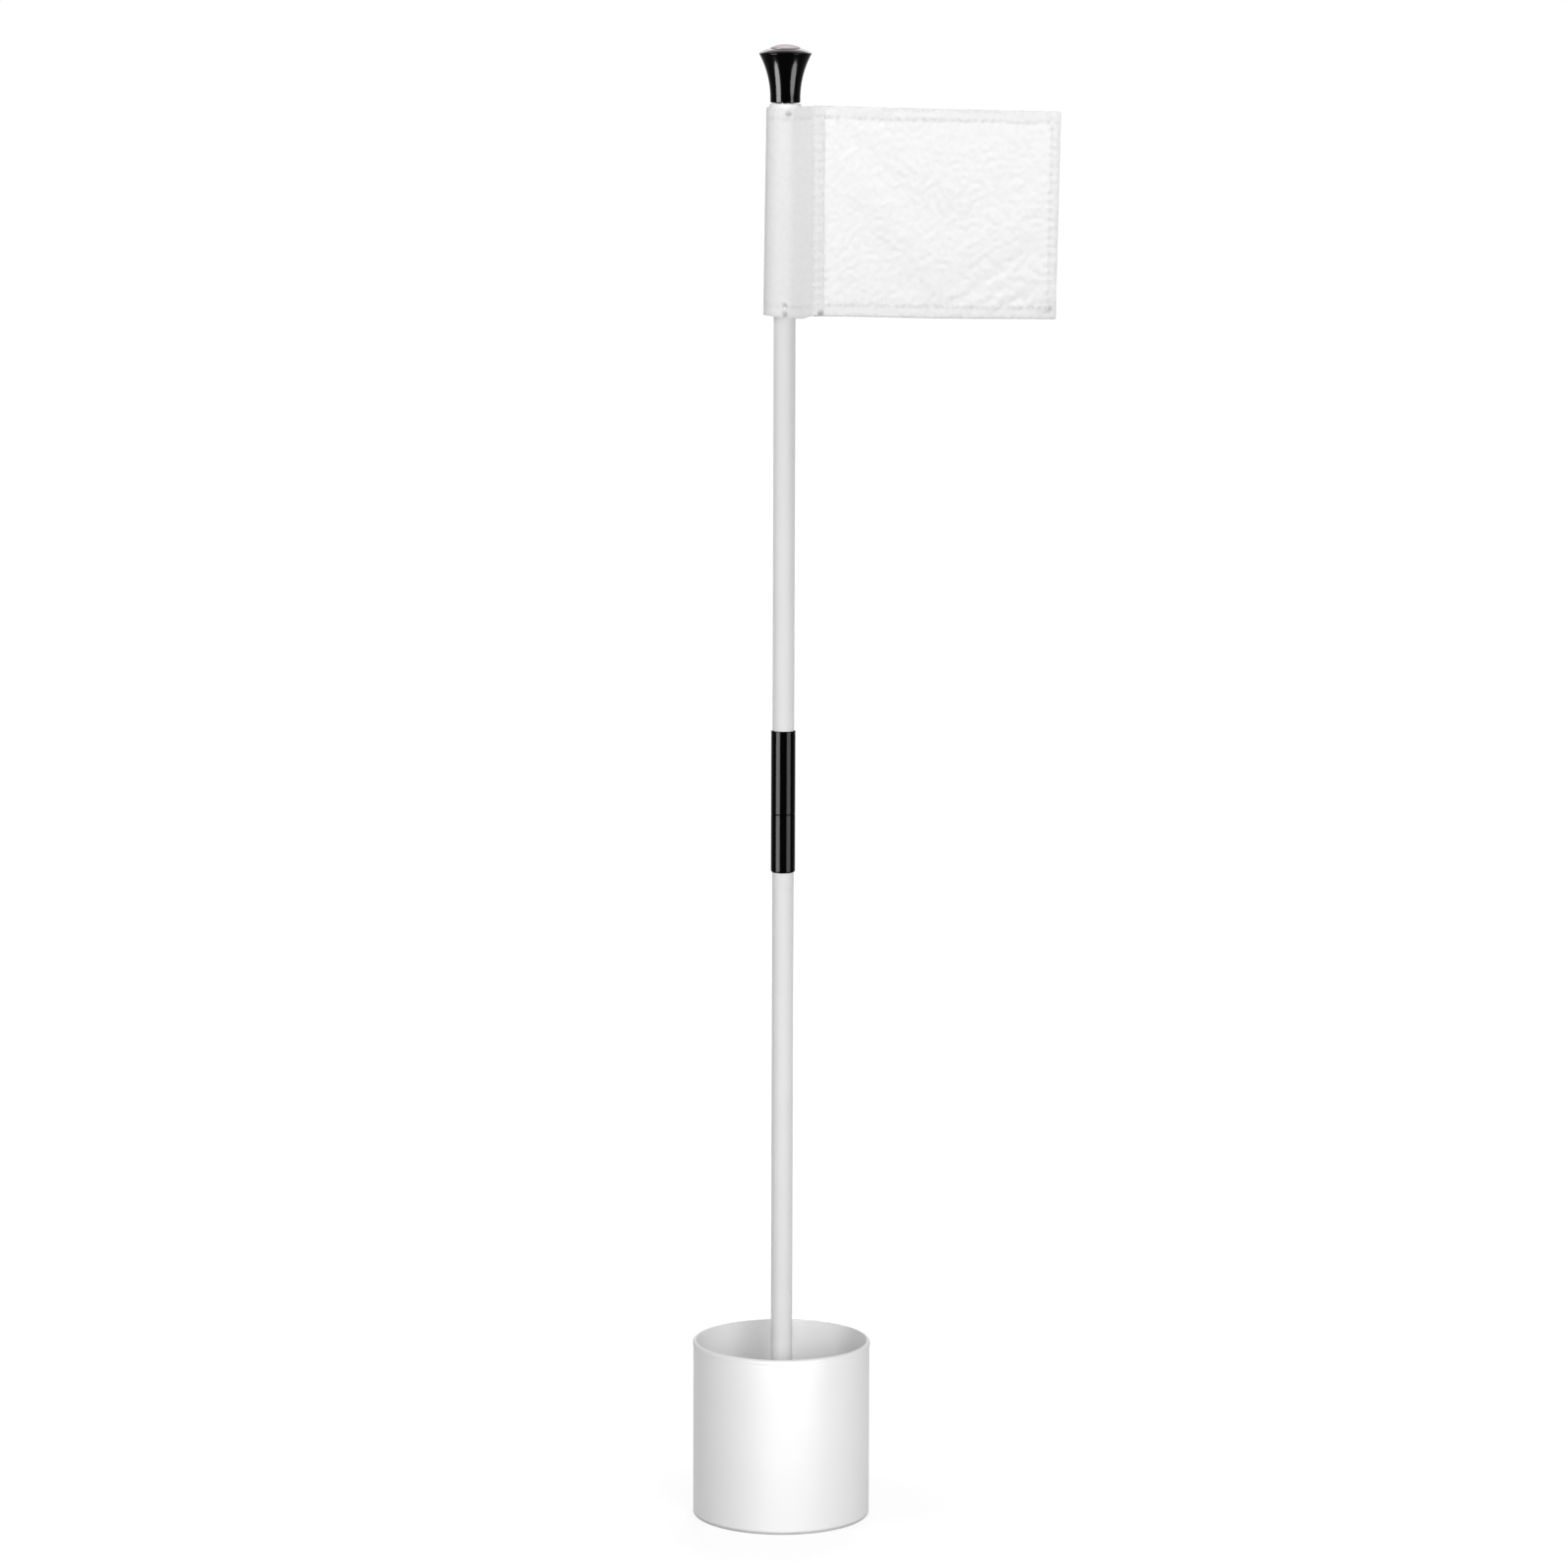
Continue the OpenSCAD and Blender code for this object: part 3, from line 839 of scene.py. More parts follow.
# the cloth's whites: the doubled sleeve and hems are painted greyer than the single panel, a painted shade
# for the light that shines through one layer and less through two
PANEL_WHITE, HEM_WHITE, SLEEVE_WHITE = 0.92, 0.88, 0.835
# insets of the painted shade lines at the cloth's folded edges and along the seam
EDGE_LINE = 0.7 * MM
SEAM_LINES = (0.5 * MM, 2.4 * MM, 6.3 * MM)
SEAM_SHADE_END = 6.8 * MM
SEAM_ROWS = (20.9 * MM, 17.0 * MM)
FLAP_STEPS, LOOP_STEPS, PANEL_STEPS, HEIGHT_STEPS = 3, 32, 64, 54
SIM_SCALE = 10.0
SIM_FRAMES = 32
WAVE_LIMIT = 3.0 * MM
# heights of the cloth's edges (distance from the pole's axis, height), in millimetres
TOP_EDGE = ((-13, 854.2), (0, 854.2), (10, 854.6), (16.5, 855.0), (23, 854.9), (92, 853.4), (163, 852.0))
LOW_EDGE = ((-13, 731.9), (0, 730.6), (10.7, 729.6), (16.5, 731.2), (22, 731.4), (93, 730.2), (162, 729.9))
FREE_TOP = (162.6, 0.0, 852.0)
FREE_LOW = (160.7, 1.2, 729.9)
PANEL_CUT = 146.1 * MM
LOW_EDGE_SHORTER = 1.4 * MM
CUT_SLACK = 0.3 * MM
# heights between which the flag's lower half gives way to its upper half
UPPER_HALF = (780 * MM, 800 * MM)
# columns of the panel beside the seam that are held, and the start's random unevenness in millimetres
HELD_COLUMNS = 3
START_UNEVENNESS = 0.25
START_SEED = 7
SIM_GRAVITY = 0.08
HEM_SHRINK = 0.008
# heights of the cloth's small waves, in millimetres
LEVEL_WAVES, FLY_WAVES, SEAM_WAVES = 0.26, 0.20, 0.14
LUMPS, FINE_LUMPS, CREASES = 0.20, 0.07, 0.21
CREASES_FROM_FLY, CREASES_UP, CREASES_REACH = 42 * MM, 17 * MM, 22 * MM
# a tack's place on the sleeve's front: distance from the pole's axis, and height
TOP_TACK = (1.6 * MM, 850.5 * MM)
LOW_TACK = (0.5 * MM, 735.0 * MM)
TACK_LENGTH = 3.6 * MM


def nylon_cloth(name, colour, tree_ready=None):
    """Plain-woven nylon on the cloth's own threads, with fine crumples, a soft sheen, and painted shade in
    its weave's gaps and creases.
    """
    material, tree, shader, _ = new_material(name)
    threads = add(tree, "ShaderNodeUVMap", uv_map="threads").outputs["UV"]
    weave = use_group(tree, WEAVE, {"Vector": threads, "Thread Spacing": THREAD_SPACING})
    crumples = use_group(tree, CRUMPLES, {"Vector": threads, "Size": 3.2 * MM})
    base = tree_ready(tree, threads) if tree_ready else colour
    # painted shade: the cloth is a little darker in the gaps between its threads and in its creases
    darker = blend_colours(tree, 1.0, base, grey(0.93), "MULTIPLY")
    painted_gap_shade = blend_colours(tree, weave["Gaps"], base, darker)
    painted_crease_shade = blend_colours(tree, 1.0, painted_gap_shade, grey(0.975), "MULTIPLY")
    feed_inputs(tree, shader, {
        "Base Color": blend_colours(tree, crumples["Creases"], painted_gap_shade, painted_crease_shade),
        "Roughness": calc(tree, "MULTIPLY_ADD", weave["Height"], -0.12, 0.82),
        "Specular IOR Level": 0.3, "Sheen Weight": 0.08})
    height = plus(tree, times(tree, weave["Height"], 0.35), crumples["Height"])
    bump(tree, shader, height, 0.10 * MM, 0.8)
    return material


def flag_nylon(sheet, pinches_with_painted_shade):
    """The flag's cloth with painted shade: greyer where it is doubled, in the sleeve and before the hems, and
    where it is pinched.
    """
    sleeve_end = float(sheet.sleeve_end)
    width, height = float(sheet.width), float(sheet.height)

    def colours(tree, threads):
        xyz = split_xyz(tree, threads)
        u, v = xyz["X"], xyz["Y"]
        inner, outer = HEM_WIDTH + 0.2 * MM, HEM_WIDTH - 0.4 * MM
        hems = calc(tree, "MAXIMUM", ease(tree, v, outer, inner, 1.0, 0.0),
                    ease(tree, v, height - inner, height - outer))
        fly = width - FLY_STITCH_INSET - 0.8 * MM
        hems = calc(tree, "MAXIMUM", hems, ease(tree, u, fly - 0.3 * MM, fly + 0.3 * MM))
        sleeve = ease(tree, u, sleeve_end - 0.6 * MM, sleeve_end + 0.2 * MM, 1.0, 0.0)
        # the seam's flap is painted a little greyer still: painted shade
        seam = times(tree, ease(tree, u, SEAM_SHADE_END, SEAM_SHADE_END + 1.5 * MM, 1.0, 0.0), sleeve)
        colour = blend_colours(tree, hems, grey(PANEL_WHITE), grey(HEM_WHITE))
        colour = blend_colours(tree, sleeve, colour, grey(SLEEVE_WHITE))
        colour = blend_colours(tree, times(tree, seam, 0.2), colour, grey(SLEEVE_WHITE * 0.93))
        # painted shade: darker lines along the folded edges, the seam and the stitch rows, broken up in
        # patches, where the cloth puckers and folds
        from_top, from_fly = calc(tree, "SUBTRACT", height, v), calc(tree, "SUBTRACT", width, u)
        lines = [(along, EDGE_LINE, 0.55) for along in (v, from_top, from_fly)]
        lines += [(u, inset, 0.75) for inset in SEAM_LINES]
        lines += [(v, STITCH_INSET, 0.9), (from_top, STITCH_INSET, 0.9), (from_fly, FLY_STITCH_INSET, 0.45)]
        sewn = 0.0
        for along, inset, depth in lines:
            off = calc(tree, "ABSOLUTE", calc(tree, "SUBTRACT", along, inset))
            sewn = calc(tree, "MAXIMUM", sewn, ease(tree, off, 0.2 * MM, 2.0 * MM, depth, 0.0))
        patchy = ease(tree, noise_of(tree, threads, 340.0, detail=1.5), 0.36, 0.64, 0.10, 1.0)
        colour = blend_colours(tree, times(tree, sewn, patchy), colour, grey(0.74))
        # painted shade: soft dark spots where the cloth is pinched and at the lower free corner
        for pinch_u, pinch_v, size, depth in pinches_with_painted_shade:
            away = add(tree, "ShaderNodeVectorMath", operation="DISTANCE")
            feed(tree, away.inputs[0], threads)
            away.inputs[1].default_value = (float(pinch_u), float(pinch_v), 0)
            shade = ease(tree, away.outputs["Value"], 0.2 * MM, size * MM, depth, 0.0)
            colour = blend_colours(tree, shade, colour, grey(0.05))
        return colour

    return nylon_cloth("flag_nylon", None, colours)


def nylon_thread(name, white, upper_shade=1.0):
    """Twisted sewing thread, which can be darker on the flag's upper half, as painted shade."""
    material, tree, shader, place = new_material(name)
    skin = use_group(tree, SKIN, {"Vector": place, "Grain Scale": 5200.0, "Patch Scale": 900.0})
    upper = ease(tree, split_xyz(tree, place)["Z"], *UPPER_HALF)
    twisted = blend_colours(tree, skin["Patches"], grey(white), grey(white * 0.88))
    painted_upper_shade = blend_colours(tree, 1.0, twisted, grey(upper_shade), "MULTIPLY")
    feed_inputs(tree, shader, {
        "Base Color": blend_colours(tree, upper, twisted, painted_upper_shade),
        "Roughness": calc(tree, "MULTIPLY_ADD", skin["Grain"], 0.2, 0.5),
        "Specular IOR Level": 0.3})
    bump(tree, shader, skin["Grain"], 0.03 * MM)
    return material


def liner():
    """The plastic tube in the sleeve, closed at its top to a lip that turns around the collar."""
    lo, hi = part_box("flag_liner")
    under = hi.z - LIP_THICKNESS
    outline = [(LINER_BORE, lo.z), (hi.x, lo.z), (hi.x, hi.z), (LIP_BORE, hi.z), (LIP_BORE, under),
               (LINER_BORE, under)]
    return finish(turned("liner", outline, edge=0.3 * MM), "flag", LINER_WHITE, "liner_plastic", "flag_liner")


def sleeve_loop(slack, steps):
    """Evenly spaced (x, y) places around the liner, from the seam's front to its back."""
    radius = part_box("flag_liner")[1].x + CLOTH_TO_LINER + CLOTH_THICKNESS / 2
    front = np.array([SEAM_START, -FLAP_PROUD])
    back = np.array([SEAM_START, 0.0])
    from_front = math.atan2(front[1], front[0]) - math.acos(radius / np.hypot(*front))
    to_back = math.acos(radius / SEAM_START) - math.tau
    front_most, back_most = -math.pi / 2, -1.5 * math.pi
    spans = ((0.0, from_front, front_most), (-slack, front_most, back_most), (0.0, back_most, to_back))
    path = [front]
    for centre, start, end in spans:
        for angle in np.linspace(start, end, 60):
            path.append(np.array([centre + radius * math.cos(angle), radius * math.sin(angle)]))
    path = np.array(path + [back])
    run = np.concatenate([[0], np.cumsum(np.hypot(*np.diff(path, axis=0).T))])
    wanted = np.linspace(0, run[-1], steps + 1)
    return np.stack([np.interp(wanted, run, path[:, axis]) for axis in (0, 1)], axis=1), run[-1]


def edge_height(edge, x):
    distances, heights = np.array(edge, dtype=float).T * MM
    return np.interp(x, distances, heights)


def sheet_start():
    """The cloth's places before it hangs, row by row from the bottom, and its flat cut (u, v) in metres."""
    rows, columns = HEIGHT_STEPS + 1, FLAP_STEPS + LOOP_STEPS + PANEL_STEPS + 1
    up = np.linspace(0, 1, rows)
    places = np.zeros((rows, columns, 3))
    lengths = []
    for row, height in enumerate(up):
        loop, length = sleeve_loop((2.6 - 1.5 * height) * MM, LOOP_STEPS)
        lengths.append(length)
        flap = np.stack([np.linspace(FLAP_END, SEAM_START, FLAP_STEPS + 1),
                         np.full(FLAP_STEPS + 1, -FLAP_PROUD)], axis=1)
        free_x = (FREE_LOW[0] + (FREE_TOP[0] - FREE_LOW[0]) * height) * MM
        panel = np.stack([np.linspace(SEAM_START, free_x, PANEL_STEPS + 1),
                          np.linspace(0, FREE_LOW[1] * (1 - height) * MM, PANEL_STEPS + 1)], axis=1)
        places[row, :, :2] = np.concatenate([flap[:-1], loop[:-1], panel])
    low, high = edge_height(LOW_EDGE, places[0, :, 0]), edge_height(TOP_EDGE, places[-1, :, 0])
    places[:, :, 2] = low + (high - low) * up[:, None]
    loop_length = float(np.mean(lengths))
    flap_length = FLAP_END - SEAM_START
    along = np.concatenate([np.linspace(0, flap_length, FLAP_STEPS + 1)[:-1],
                            flap_length + np.linspace(0, loop_length, LOOP_STEPS + 1)[:-1],
                            flap_length + loop_length + np.linspace(0, PANEL_CUT, PANEL_STEPS + 1)])
    height = float(high[-PANEL_STEPS] - low[-PANEL_STEPS])
    flat = np.stack(np.meshgrid(along, up * height), axis=2)
    return places, flat


def laid_grid(name, places, flat):
    """A sheet of faces whose corners lie at the given places, with its flat cut as its UV map."""
    rows, columns = places.shape[:2]
    deselect()
    bpy.ops.mesh.primitive_grid_add(x_subdivisions=columns - 1, y_subdivisions=rows - 1, size=1)
    obj = bpy.context.object
    obj.name = obj.data.name = name
    mesh = obj.data
    square = np.empty(len(mesh.vertices) * 3)
    mesh.vertices.foreach_get("co", square)
    square = square.reshape(-1, 3)
    column = np.rint((square[:, 0] + 0.5) * (columns - 1)).astype(int)
    row = np.rint((square[:, 1] + 0.5) * (rows - 1)).astype(int)
    mesh.vertices.foreach_set("co", places[row, column].ravel())
    corner = np.empty(len(mesh.loops), dtype=int)
    mesh.loops.foreach_get("vertex_index", corner)
    mesh.uv_layers[0].name = "threads"
    mesh.uv_layers[0].data.foreach_set("uv", flat[row[corner], column[corner]].ravel())
    mesh.update()
    return obj, row, column


def hang_cloth(places, flat):
    """Lets the panel hang from the seam and its two free corners, with its hems drawn in a little."""
    rows, columns = places.shape[:2]
    seam = FLAP_STEPS + LOOP_STEPS
    free = seam + HELD_COLUMNS
    unevenness = np.random.default_rng(START_SEED).uniform(-START_UNEVENNESS, START_UNEVENNESS,
                                                           (rows - 2, columns - free - 1))
    start = places.copy()
    start[1:-1, free:-1, 1] += unevenness * MM
    cut = places.copy()
    panel_x = flat[0, seam:, 0] - flat[0, seam, 0]
    share = np.linspace(0, 1, rows)
    cut[:, seam:, 0] = SEAM_START + panel_x * (1 - LOW_EDGE_SHORTER / PANEL_CUT * (1 - share[:, None]))
    cut[:, seam:, 1] = 0
    cut_height = places[-1, seam:, 2] - places[0, seam:, 2] + CUT_SLACK
    cut[:, seam:, 2] = places[0, seam, 2] + share[:, None] * cut_height
    cloth, row, column = laid_grid("hanging_cloth", start * SIM_SCALE, flat)
    cloth.shape_key_add(name="start")
    key = cloth.shape_key_add(name="cut", from_mix=False)
    key.data.foreach_set("co", (cut[row, column] * SIM_SCALE).ravel())
    key.value = 0.0
    sewn = cloth.vertex_groups.new(name="sewn")
    held = (column <= free) | ((column == columns - 1) & ((row == 0) | (row == rows - 1)))
    sewn.add([int(i) for i in np.flatnonzero(held)], 1.0, "REPLACE")
    hems = cloth.vertex_groups.new(name="hems")
    band = max(2, round(HEM_WIDTH / (flat[1, 0, 1] - flat[0, 0, 1])))
    edge = (column > seam) & ((row <= band) | (row >= rows - 1 - band) | (column >= columns - 1 - band))
    hems.add([int(i) for i in np.flatnonzero(edge)], 1.0, "REPLACE")
    modifier = cloth.modifiers.new("cloth", "CLOTH")
    settings = modifier.settings
    settings.vertex_group_mass = "sewn"
    settings.rest_shape_key = key
    settings.vertex_group_shrink = "hems"
    settings.shrink_min, settings.shrink_max = 0.0, HEM_SHRINK
    settings.quality = 7
    settings.mass = 0.25
    settings.tension_stiffness = settings.compression_stiffness = 30.0
    settings.shear_stiffness = 10.0
    settings.bending_stiffness = 3.0
    settings.air_damping = 3.0
    settings.effector_weights.gravity = SIM_GRAVITY
    modifier.collision_settings.use_collision = False
    modifier.point_cache.frame_start, modifier.point_cache.frame_end = 1, SIM_FRAMES
    scene = bpy.context.scene
    for frame_number in range(1, SIM_FRAMES + 1):
        scene.frame_set(frame_number)
    hung = cloth.evaluated_get(bpy.context.evaluated_depsgraph_get()).data
    result = np.empty(len(hung.vertices) * 3)
    hung.vertices.foreach_get("co", result)
    out = places.copy()
    out[row, column] = result.reshape(-1, 3) / SIM_SCALE
    scene.frame_set(1)
    bpy.data.objects.remove(cloth)
    return out


def between(values):
    """Twice as many steps along the first axis, on a smooth curve through the given values."""
    padded = np.concatenate([2 * values[:1] - values[1:2], values, 2 * values[-1:] - values[-2:-1]])
    middle = (9 * (padded[1:-2] + padded[2:-1]) - padded[:-3] - padded[3:]) / 16
    out = np.empty((2 * len(values) - 1,) + values.shape[1:])
    out[0::2], out[1::2] = values, middle
    return out


def finer(values):
    return between(between(values).swapaxes(0, 1)).swapaxes(0, 1)


def sheet_normals(places):
    across = np.gradient(places, axis=1)
    up = np.gradient(places, axis=0)
    normal = np.cross(across, up)
    return normal / np.linalg.norm(normal, axis=2, keepdims=True)


def bell(distance, width):
    return np.exp(-(distance / width) ** 2)


def soft_noise(points, size, seed):
    """Smooth noise from -1 to 1 over flat places, with its lumps about a given size."""
    shift = Vector((13.7 * seed, 5.1 * seed, 2.9 * seed))
    values = [noise.noise(Vector((u / size, v / size, 0)) + shift) for u, v in points.reshape(-1, 2)]
    return np.array(values).reshape(points.shape[:-1])


def crumple(places, flat, pinches_with_painted_shade):
    """Small waves in the cloth: puckers along the stitches, soft creases, and dimples at the tacks."""
    u, v = flat[..., 0], flat[..., 1]
    width, height = u.max(), v.max()
    sleeve_end = flat[0, 2 * (FLAP_STEPS + LOOP_STEPS), 0]
    seam = FLAP_END - SEAM_START

    def waves_at(u):
        place = np.stack([u, v], axis=-1)
        drift = soft_noise(place, 11 * MM, 1)
        along_level = np.sin(math.tau * u / (5.1 * MM) + 2.2 * drift)
        along_upright = np.sin(math.tau * v / (5.4 * MM) + 2.2 * drift)
        near_level = bell(v - STITCH_INSET, 3.0 * MM) + bell(height - v - STITCH_INSET, 3.0 * MM)
        near_fly = bell(width - u - FLY_STITCH_INSET, 3.0 * MM)
        near_seam = bell(u - sleeve_end - seam / 2, 4.0 * MM)
        on_panel = np.clip((u - sleeve_end) / (3 * MM), 0, 1)
        waves = LEVEL_WAVES * along_level * near_level * on_panel
        waves = waves + along_upright * (FLY_WAVES * near_fly + SEAM_WAVES * near_seam)
        waves += LUMPS * soft_noise(place, 14 * MM, 2) * (0.3 + 0.7 * on_panel)
        waves += FINE_LUMPS * soft_noise(place, 5 * MM, 3)
        # long slanting creases that run up from the lower hem towards the free edge
        reach = bell(np.hypot(u - (width - CREASES_FROM_FLY), v - CREASES_UP), CREASES_REACH)
        return waves + CREASES * np.sin(math.tau * (0.8 * v - 0.6 * u) / (10 * MM) + 1.2 * drift) * reach

    # the flap lies on the panel, so it moves with the panel under it
    on_flap = np.clip((seam + 3 * MM - u) / (3 * MM), 0, 1)
    waves = waves_at(u) * (1 - on_flap) - waves_at(sleeve_end + seam - u) * on_flap
    # the thread draws the cloth in at a tack, and the cloth swells around it
    for pinch_u, pinch_v, size, _ in pinches_with_painted_shade:
        away = np.hypot(u - pinch_u, v - pinch_v) / (min(size, 3.0) * MM)
        waves += 0.16 * bell(away, 0.5) - 0.30 * bell(away - 1.0, 0.45) * (u < sleeve_end)
    return places + sheet_normals(places) * (waves * MM)[..., None]


class Sheet:
    """The finished mid surface of the cloth, read by its flat place (u, v) in metres."""

    def __init__(self, places, flat):
        self.places, self.flat, self.normals = places, flat, sheet_normals(places)
        self.u, self.v = flat[0, :, 0], flat[:, 0, 1]
        self.width, self.height = self.u[-1], self.v[-1]
        self.sleeve_end = self.u[2 * (FLAP_STEPS + LOOP_STEPS)]

    def front_of_sleeve(self, x, z):
        """The flat place (u, v) of a point on the sleeve's front, from its x and its height."""
        half = FLAP_STEPS * 2 + LOOP_STEPS
        row = len(self.v) // 2
        u = np.interp(-x, -self.places[row, :half, 0], self.u[:half])
        column = int(np.argmin(np.abs(self.u - u)))
        return float(u), float(np.interp(z, self.places[:, column, 2], self.v))

    def at(self, u, v, lift=0.0):
        """Places over the cloth, lifted off its mid surface; a place past an edge runs straight on."""
        u, v = np.broadcast_arrays(np.asarray(u, dtype=float), np.asarray(v, dtype=float))
        column = np.interp(u, self.u, np.arange(len(self.u)))
        row = np.interp(v, self.v, np.arange(len(self.v)))
        i = np.minimum(column.astype(int), len(self.u) - 2)
        j = np.minimum(row.astype(int), len(self.v) - 2)
        x, y = (column - i)[..., None], (row - j)[..., None]
        found = []
        for grid in (self.places, self.normals):
            found.append((grid[j, i] * (1 - x) + grid[j, i + 1] * x) * (1 - y)
                         + (grid[j + 1, i] * (1 - x) + grid[j + 1, i + 1] * x) * y)
        place, normal = found
        along = self.places[j, i + 1] - self.places[j, i]
        along /= np.linalg.norm(along, axis=-1, keepdims=True)
        past_u = (np.maximum(u - self.width, 0) + np.minimum(u, 0))[..., None]
        past_v = (np.maximum(v - self.height, 0) + np.minimum(v, 0))[..., None]
        return place + along * past_u + np.array([0, 0, 1.0]) * past_v + normal * np.asarray(lift)[..., None]


def thicken(obj, thickness, rim):
    apply(obj, "SOLIDIFY", thickness=thickness, offset=0.0, use_even_offset=False)
    apply(obj, "BEVEL", width=rim, segments=2, limit_method="ANGLE", angle_limit=math.radians(60))
    pick(obj)
    bpy.ops.object.shade_smooth_by_angle(angle=math.radians(60))
    return obj


def cloth_sheet(sheet, material):
    obj, _, _ = laid_grid("flag_cloth", sheet.places, sheet.flat)
    thicken(obj, CLOTH_THICKNESS, 0.1 * MM)
    return finish(obj, "flag", material, "flag_cloth", "flag_sleeve", "sleeve_seam", "flag_panel")


def hem_profile():
    """(inset from the cloth's edge, lift from its mid surface) from the hem's inner edge round the fold."""
    back = -(CLOTH_THICKNESS / 2 + HEM_THICKNESS / 2 + 0.04 * MM)
    points = [(inset * MM, back) for inset in (7.0, 5.8, 4.6, 3.4, 2.2, 1.0, 0.1)]
    for angle in (45, 90, 135, 170):
        turn_by = math.radians(angle)
        points.append((back / 2 * math.sin(turn_by), back / 2 * (1 + math.cos(turn_by))))
    return points


def hem_strip(name, side, sheet, node, material):
    """A hem folded to the back of the panel. The free edge's one lies over the other two at its ends."""
    rows, flats = [], []
    if side == "fly":
        along = np.linspace(0.15 * MM, sheet.height - 0.15 * MM, 109)
        to_end = np.minimum(along, sheet.height - along)
        spread = 1 + np.clip(1 - (to_end - HEM_WIDTH) / (2 * MM), 0, 1)
    else:
        along = np.linspace(sheet.sleeve_end + 0.5 * MM, sheet.width, 127)
        spread = np.ones_like(along)
    for inset, lift in hem_profile():
        if side == "fly":
            u, v = np.full_like(along, sheet.width - inset), along
        else:
            u, v = along, np.full_like(along, sheet.height - inset if side == "top" else inset)
        rows.append(sheet.at(u, v, lift * spread))
        flats.append(np.stack([u, v], axis=1))
    obj, _, _ = laid_grid(name, np.array(rows), np.array(flats))
    thicken(obj, HEM_THICKNESS, 0.12 * MM)
    normals_out(obj)
    return finish(obj, "flag", material, "flag_cloth", node)


def one_stitch():
    """One stitch of thread: a flattened bead that dips into the cloth at both ends."""
    deselect()
    bpy.ops.mesh.primitive_uv_sphere_add(segments=8, ring_count=6, radius=1)
    bead = bpy.context.object
    enter("EDIT")
    bpy.ops.mesh.select_all(action="SELECT")
    bpy.ops.transform.rotate(value=math.pi / 2, orient_axis="Y", center_override=(0, 0, 0))
    bpy.ops.transform.resize(value=(0.95 * MM, 0.2 * MM, 0.16 * MM), center_override=(0, 0, 0))
    enter("OBJECT")
    pick(bead)
    bpy.ops.object.shade_smooth()
    return bead


def frame_from(place, along, outward):
    """A turn and a place for a copy: its X runs along the line, and its Z points out of the cloth."""
    x = Vector(along).normalized()
    z = Vector(outward).normalized()
    y = z.cross(x).normalized()
    z = x.cross(y)
    return Matrix.Translation(Vector(place)) @ Matrix((x, y, z)).transposed().to_4x4()


def sew(name, sheet, lines, material, *nodes, step=STITCH_STEP):
    """Stitches along lines of flat places, on the cloth's front or back; each is a copy of one stitch."""
    bead = one_stitch()
    copies = []
    for points, lift in lines:
        points = np.array(points)
        run = np.concatenate([[0], np.cumsum(np.hypot(*np.diff(points, axis=0).T))])
        count = max(1, int(run[-1] / step))
        for middle in (np.arange(count) + 0.5) * run[-1] / count:
            ends = [[np.interp(middle + side * STITCH_HALF, run, points[:, axis]) for axis in (0, 1)]
                    for side in (-1, 1)]
            first, second = (sheet.at(np.array(u), np.array(v), np.array(lift)) for u, v in ends)
            base = sheet.at(np.array(ends[0][0]), np.array(ends[0][1]), np.array(0.0))
            copy = bead.copy()
            copy.data = bead.data.copy()
            bpy.context.scene.collection.objects.link(copy)
            copy.matrix_world = frame_from((first + second) / 2, second - first, (first - base) * 1e3)
            copies.append(copy)
    bpy.data.objects.remove(bead)
    obj = join(copies)
    bpy.ops.object.transform_apply(location=True, rotation=True, scale=True)
    obj.name = obj.data.name = name
    obj.data.materials.clear()
    return finish(obj, "flag", material, "tack_thread", *nodes)


def tack_threads(sheet, tacks, material):
    """The short bars of thread that hold the liner in the sleeve: three strands side by side in each."""
    lines = []
    for (u, v), (du, dv) in tacks:
        for strand in (-1, 0, 1):
            shift = np.array([-dv, du]) * strand * 0.32 * MM
            centre = np.array([u, v]) + shift
            reach = np.array([du, dv]) * (TACK_LENGTH / 2 - abs(strand) * 0.25 * MM)
            lines.append(((centre - reach, centre + reach), -(CLOTH_THICKNESS / 2 + 0.05 * MM)))
    return sew("liner_tack_threads", sheet, lines, material, "liner_tacks", step=1.1 * MM)


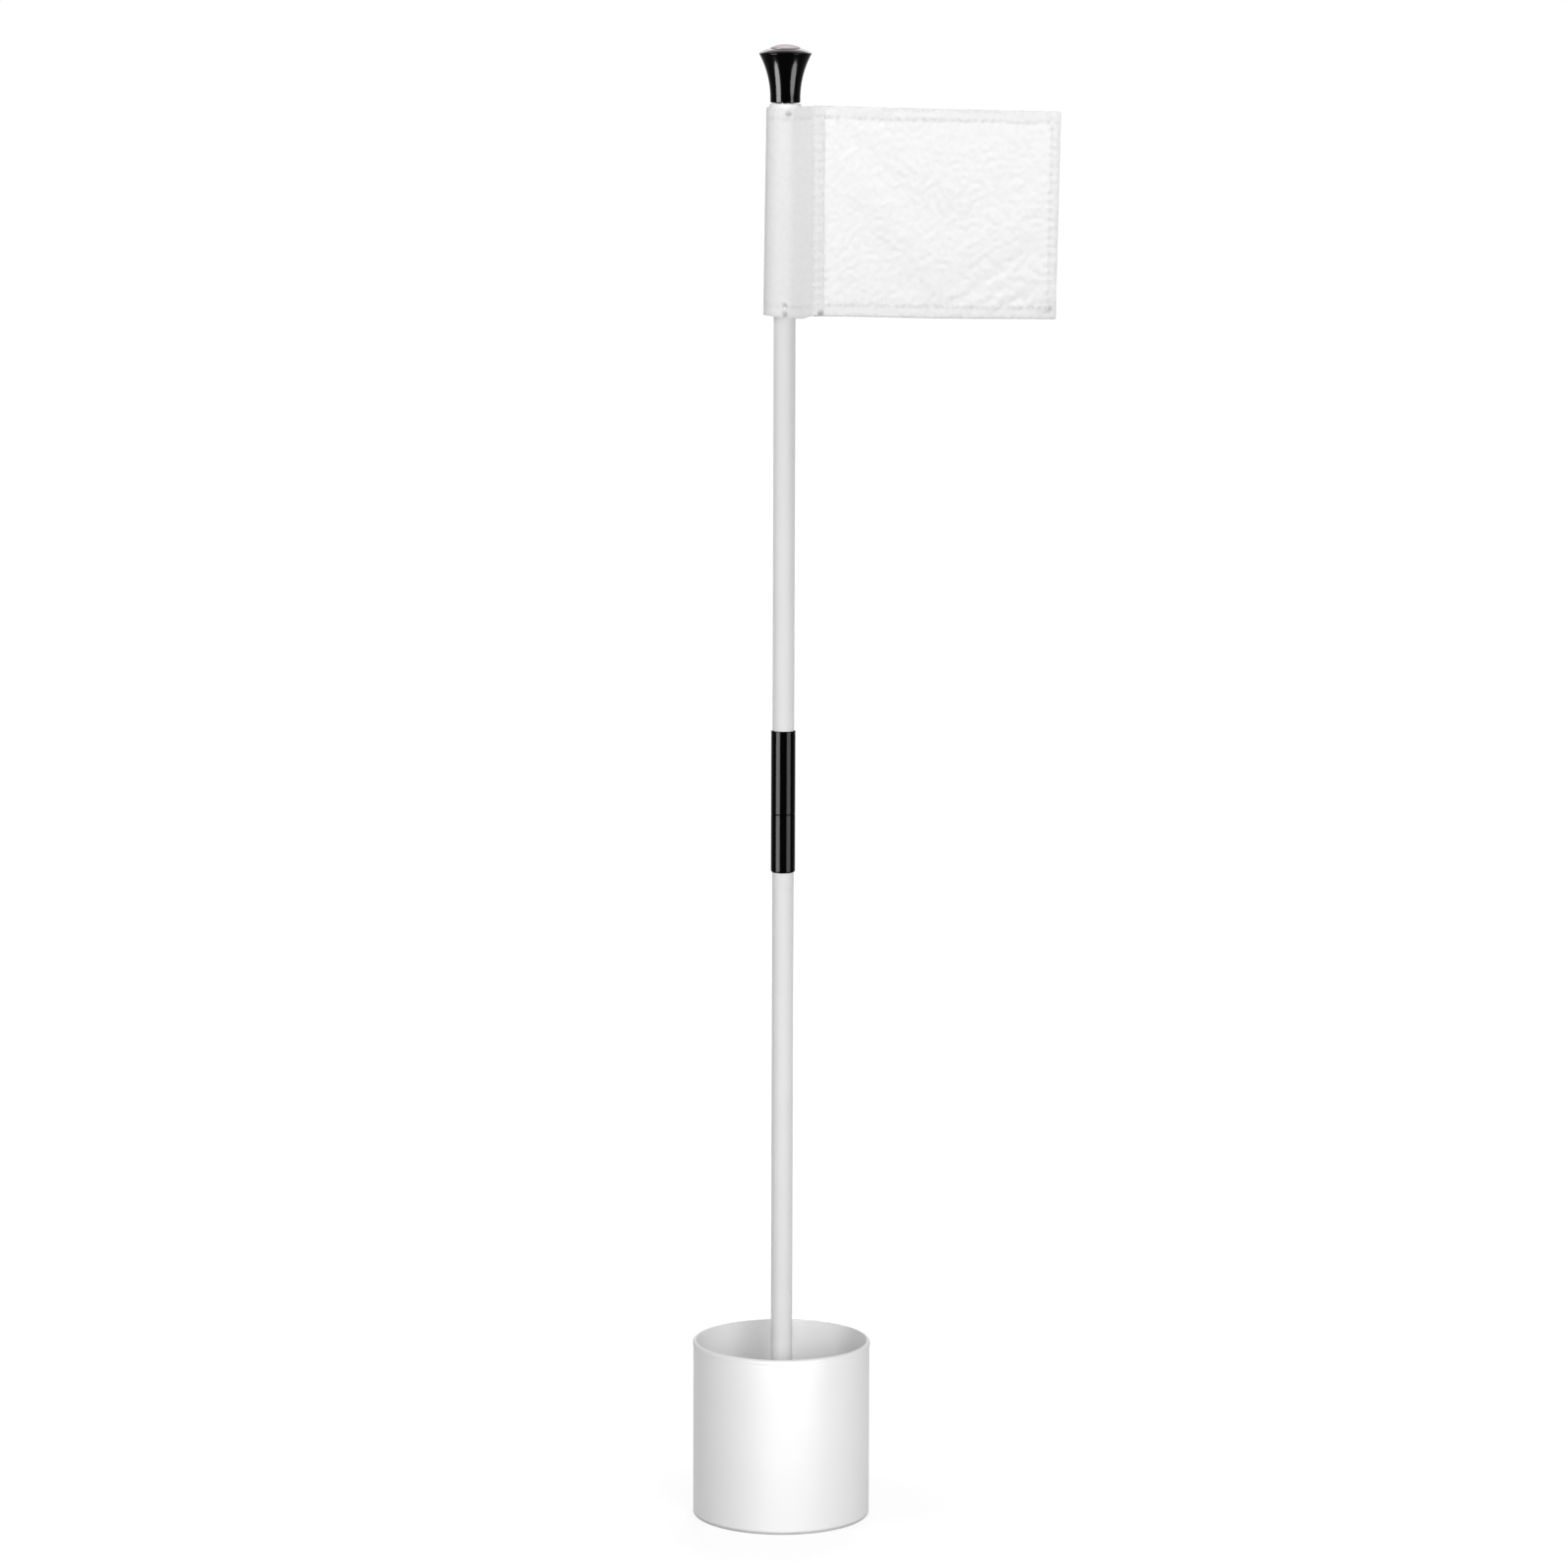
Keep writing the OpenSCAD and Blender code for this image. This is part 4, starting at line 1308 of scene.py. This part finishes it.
def flag():
    places, flat = sheet_start()
    hung = places
    hung = places + WAVE_LIMIT * np.tanh((hang_cloth(places, flat) - places) / WAVE_LIMIT)
    sheet_flat = finer(flat)
    sheet = Sheet(finer(hung), sheet_flat)
    top_tack = sheet.front_of_sleeve(*TOP_TACK)
    low_tack = sheet.front_of_sleeve(*LOW_TACK)
    # places pinched at the tacks, and spots at the seam's foot and the lower free corner, all painted with a
    # soft dark shade: (u, v, size in millimetres, depth of the shade)
    pinches_with_painted_shade = [(*top_tack, 3.0, 0.34), (low_tack[0], low_tack[1] + 2.6 * MM, 2.6, 0.34),
               (low_tack[0], low_tack[1] - 2.8 * MM, 2.8, 0.42), (2.0 * MM, 1.2 * MM, 3.0, 0.55),
               (sheet.width - 4 * MM, 6 * MM, 3.0, 0.30), (sheet.width - 6 * MM, 5 * MM, 14.0, 0.07)]
    sheet = Sheet(crumple(finer(hung), sheet_flat, pinches_with_painted_shade), sheet_flat)
    nylon = flag_nylon(sheet, pinches_with_painted_shade)
    # the hems' strips take the painted grey of the doubled hems
    hem_nylon = nylon_cloth("hem_nylon", grey(HEM_WHITE))
    thread = nylon_thread("sewing_thread", 0.90)
    # the top tack's thread is painted darker: painted shade
    tack_thread = nylon_thread("tack_thread", 0.88, upper_shade=0.66)
    cloth = cloth_sheet(sheet, nylon)
    pieces = [hem_strip("hem_top", "top", sheet, "top_hem", hem_nylon),
              hem_strip("hem_low", "low", sheet, "bottom_hem", hem_nylon),
              hem_strip("hem_fly", "fly", sheet, "fly_hem", hem_nylon)]
    w, h, s = sheet.width, sheet.height, STITCH_INSET
    start = sheet.sleeve_end + FLAP_END - SEAM_START
    front = CLOTH_THICKNESS / 2 + 0.03 * MM
    back = -(CLOTH_THICKNESS / 2 + HEM_THICKNESS + 0.07 * MM)
    hem_lines = [((start, h - s), (w - 1 * MM, h - s)), ((start, s), (w - 1 * MM, s)),
                 ((w - FLY_STITCH_INSET, 1 * MM), (w - FLY_STITCH_INSET, h - 1 * MM))]
    both_sides = [(line, lift) for lift in (front, back) for line in hem_lines]
    pieces.append(sew("hem_stitches", sheet, both_sides, thread))
    seam_lines = [(((u, 1 * MM), (u, h - 1 * MM)), -front)
                  for row in SEAM_ROWS for u in (FLAP_END - row, sheet.sleeve_end + row - SEAM_START)]
    pieces.append(sew("seam_stitches", sheet, seam_lines, thread))
    pieces.append(tack_threads(sheet, [(top_tack, (1, 0)), (low_tack, (0, 1))], tack_thread))
    return [cloth] + pieces


lit_cup = group_of("lit_cup", [cup_shell()])
cup_ball_floor()
cup_post()
cup_underside_ribs()
pole_foot()
pole_tube("lower_pole_tube", "lower_section", "lower_tube")
pole_tube("upper_pole_tube", "upper_section", "upper_tube")
threaded_insert("lower_bush", "lower_section", "lower_insert", CLEAR_BORE, ("low", "high"))
threaded_insert("upper_bush", "upper_section", "upper_insert", TIGHT_BORE, ("high",))
threaded_insert("top_bush", "upper_section", "top_plug", CLEAR_BORE, ("low", "high"))
lit_grips = group_of("lit_grips", [
    coupling("lower_grip", "lower_section", "lower_coupling", 1.2 * MM, 0.5 * MM),
    coupling("upper_grip", "upper_section", "upper_coupling", 0.5 * MM, 0.4 * MM)])
coupling_screw()
lit_knob = group_of("lit_knob", [flared_knob()])
lit_badge = group_of("lit_badge", [badge_disc()])
knob_screw()
lit_flag = group_of("lit_flag", [liner()] + flag())
hang_stripes(lit_grips, COUPLING_STRIPES)
hang_stripes(lit_knob, KNOB_STRIPES)
hang_soft_boxes({"cup": lit_cup, "grips": lit_grips, "knob": lit_knob, "badge": lit_badge, "flag": lit_flag})
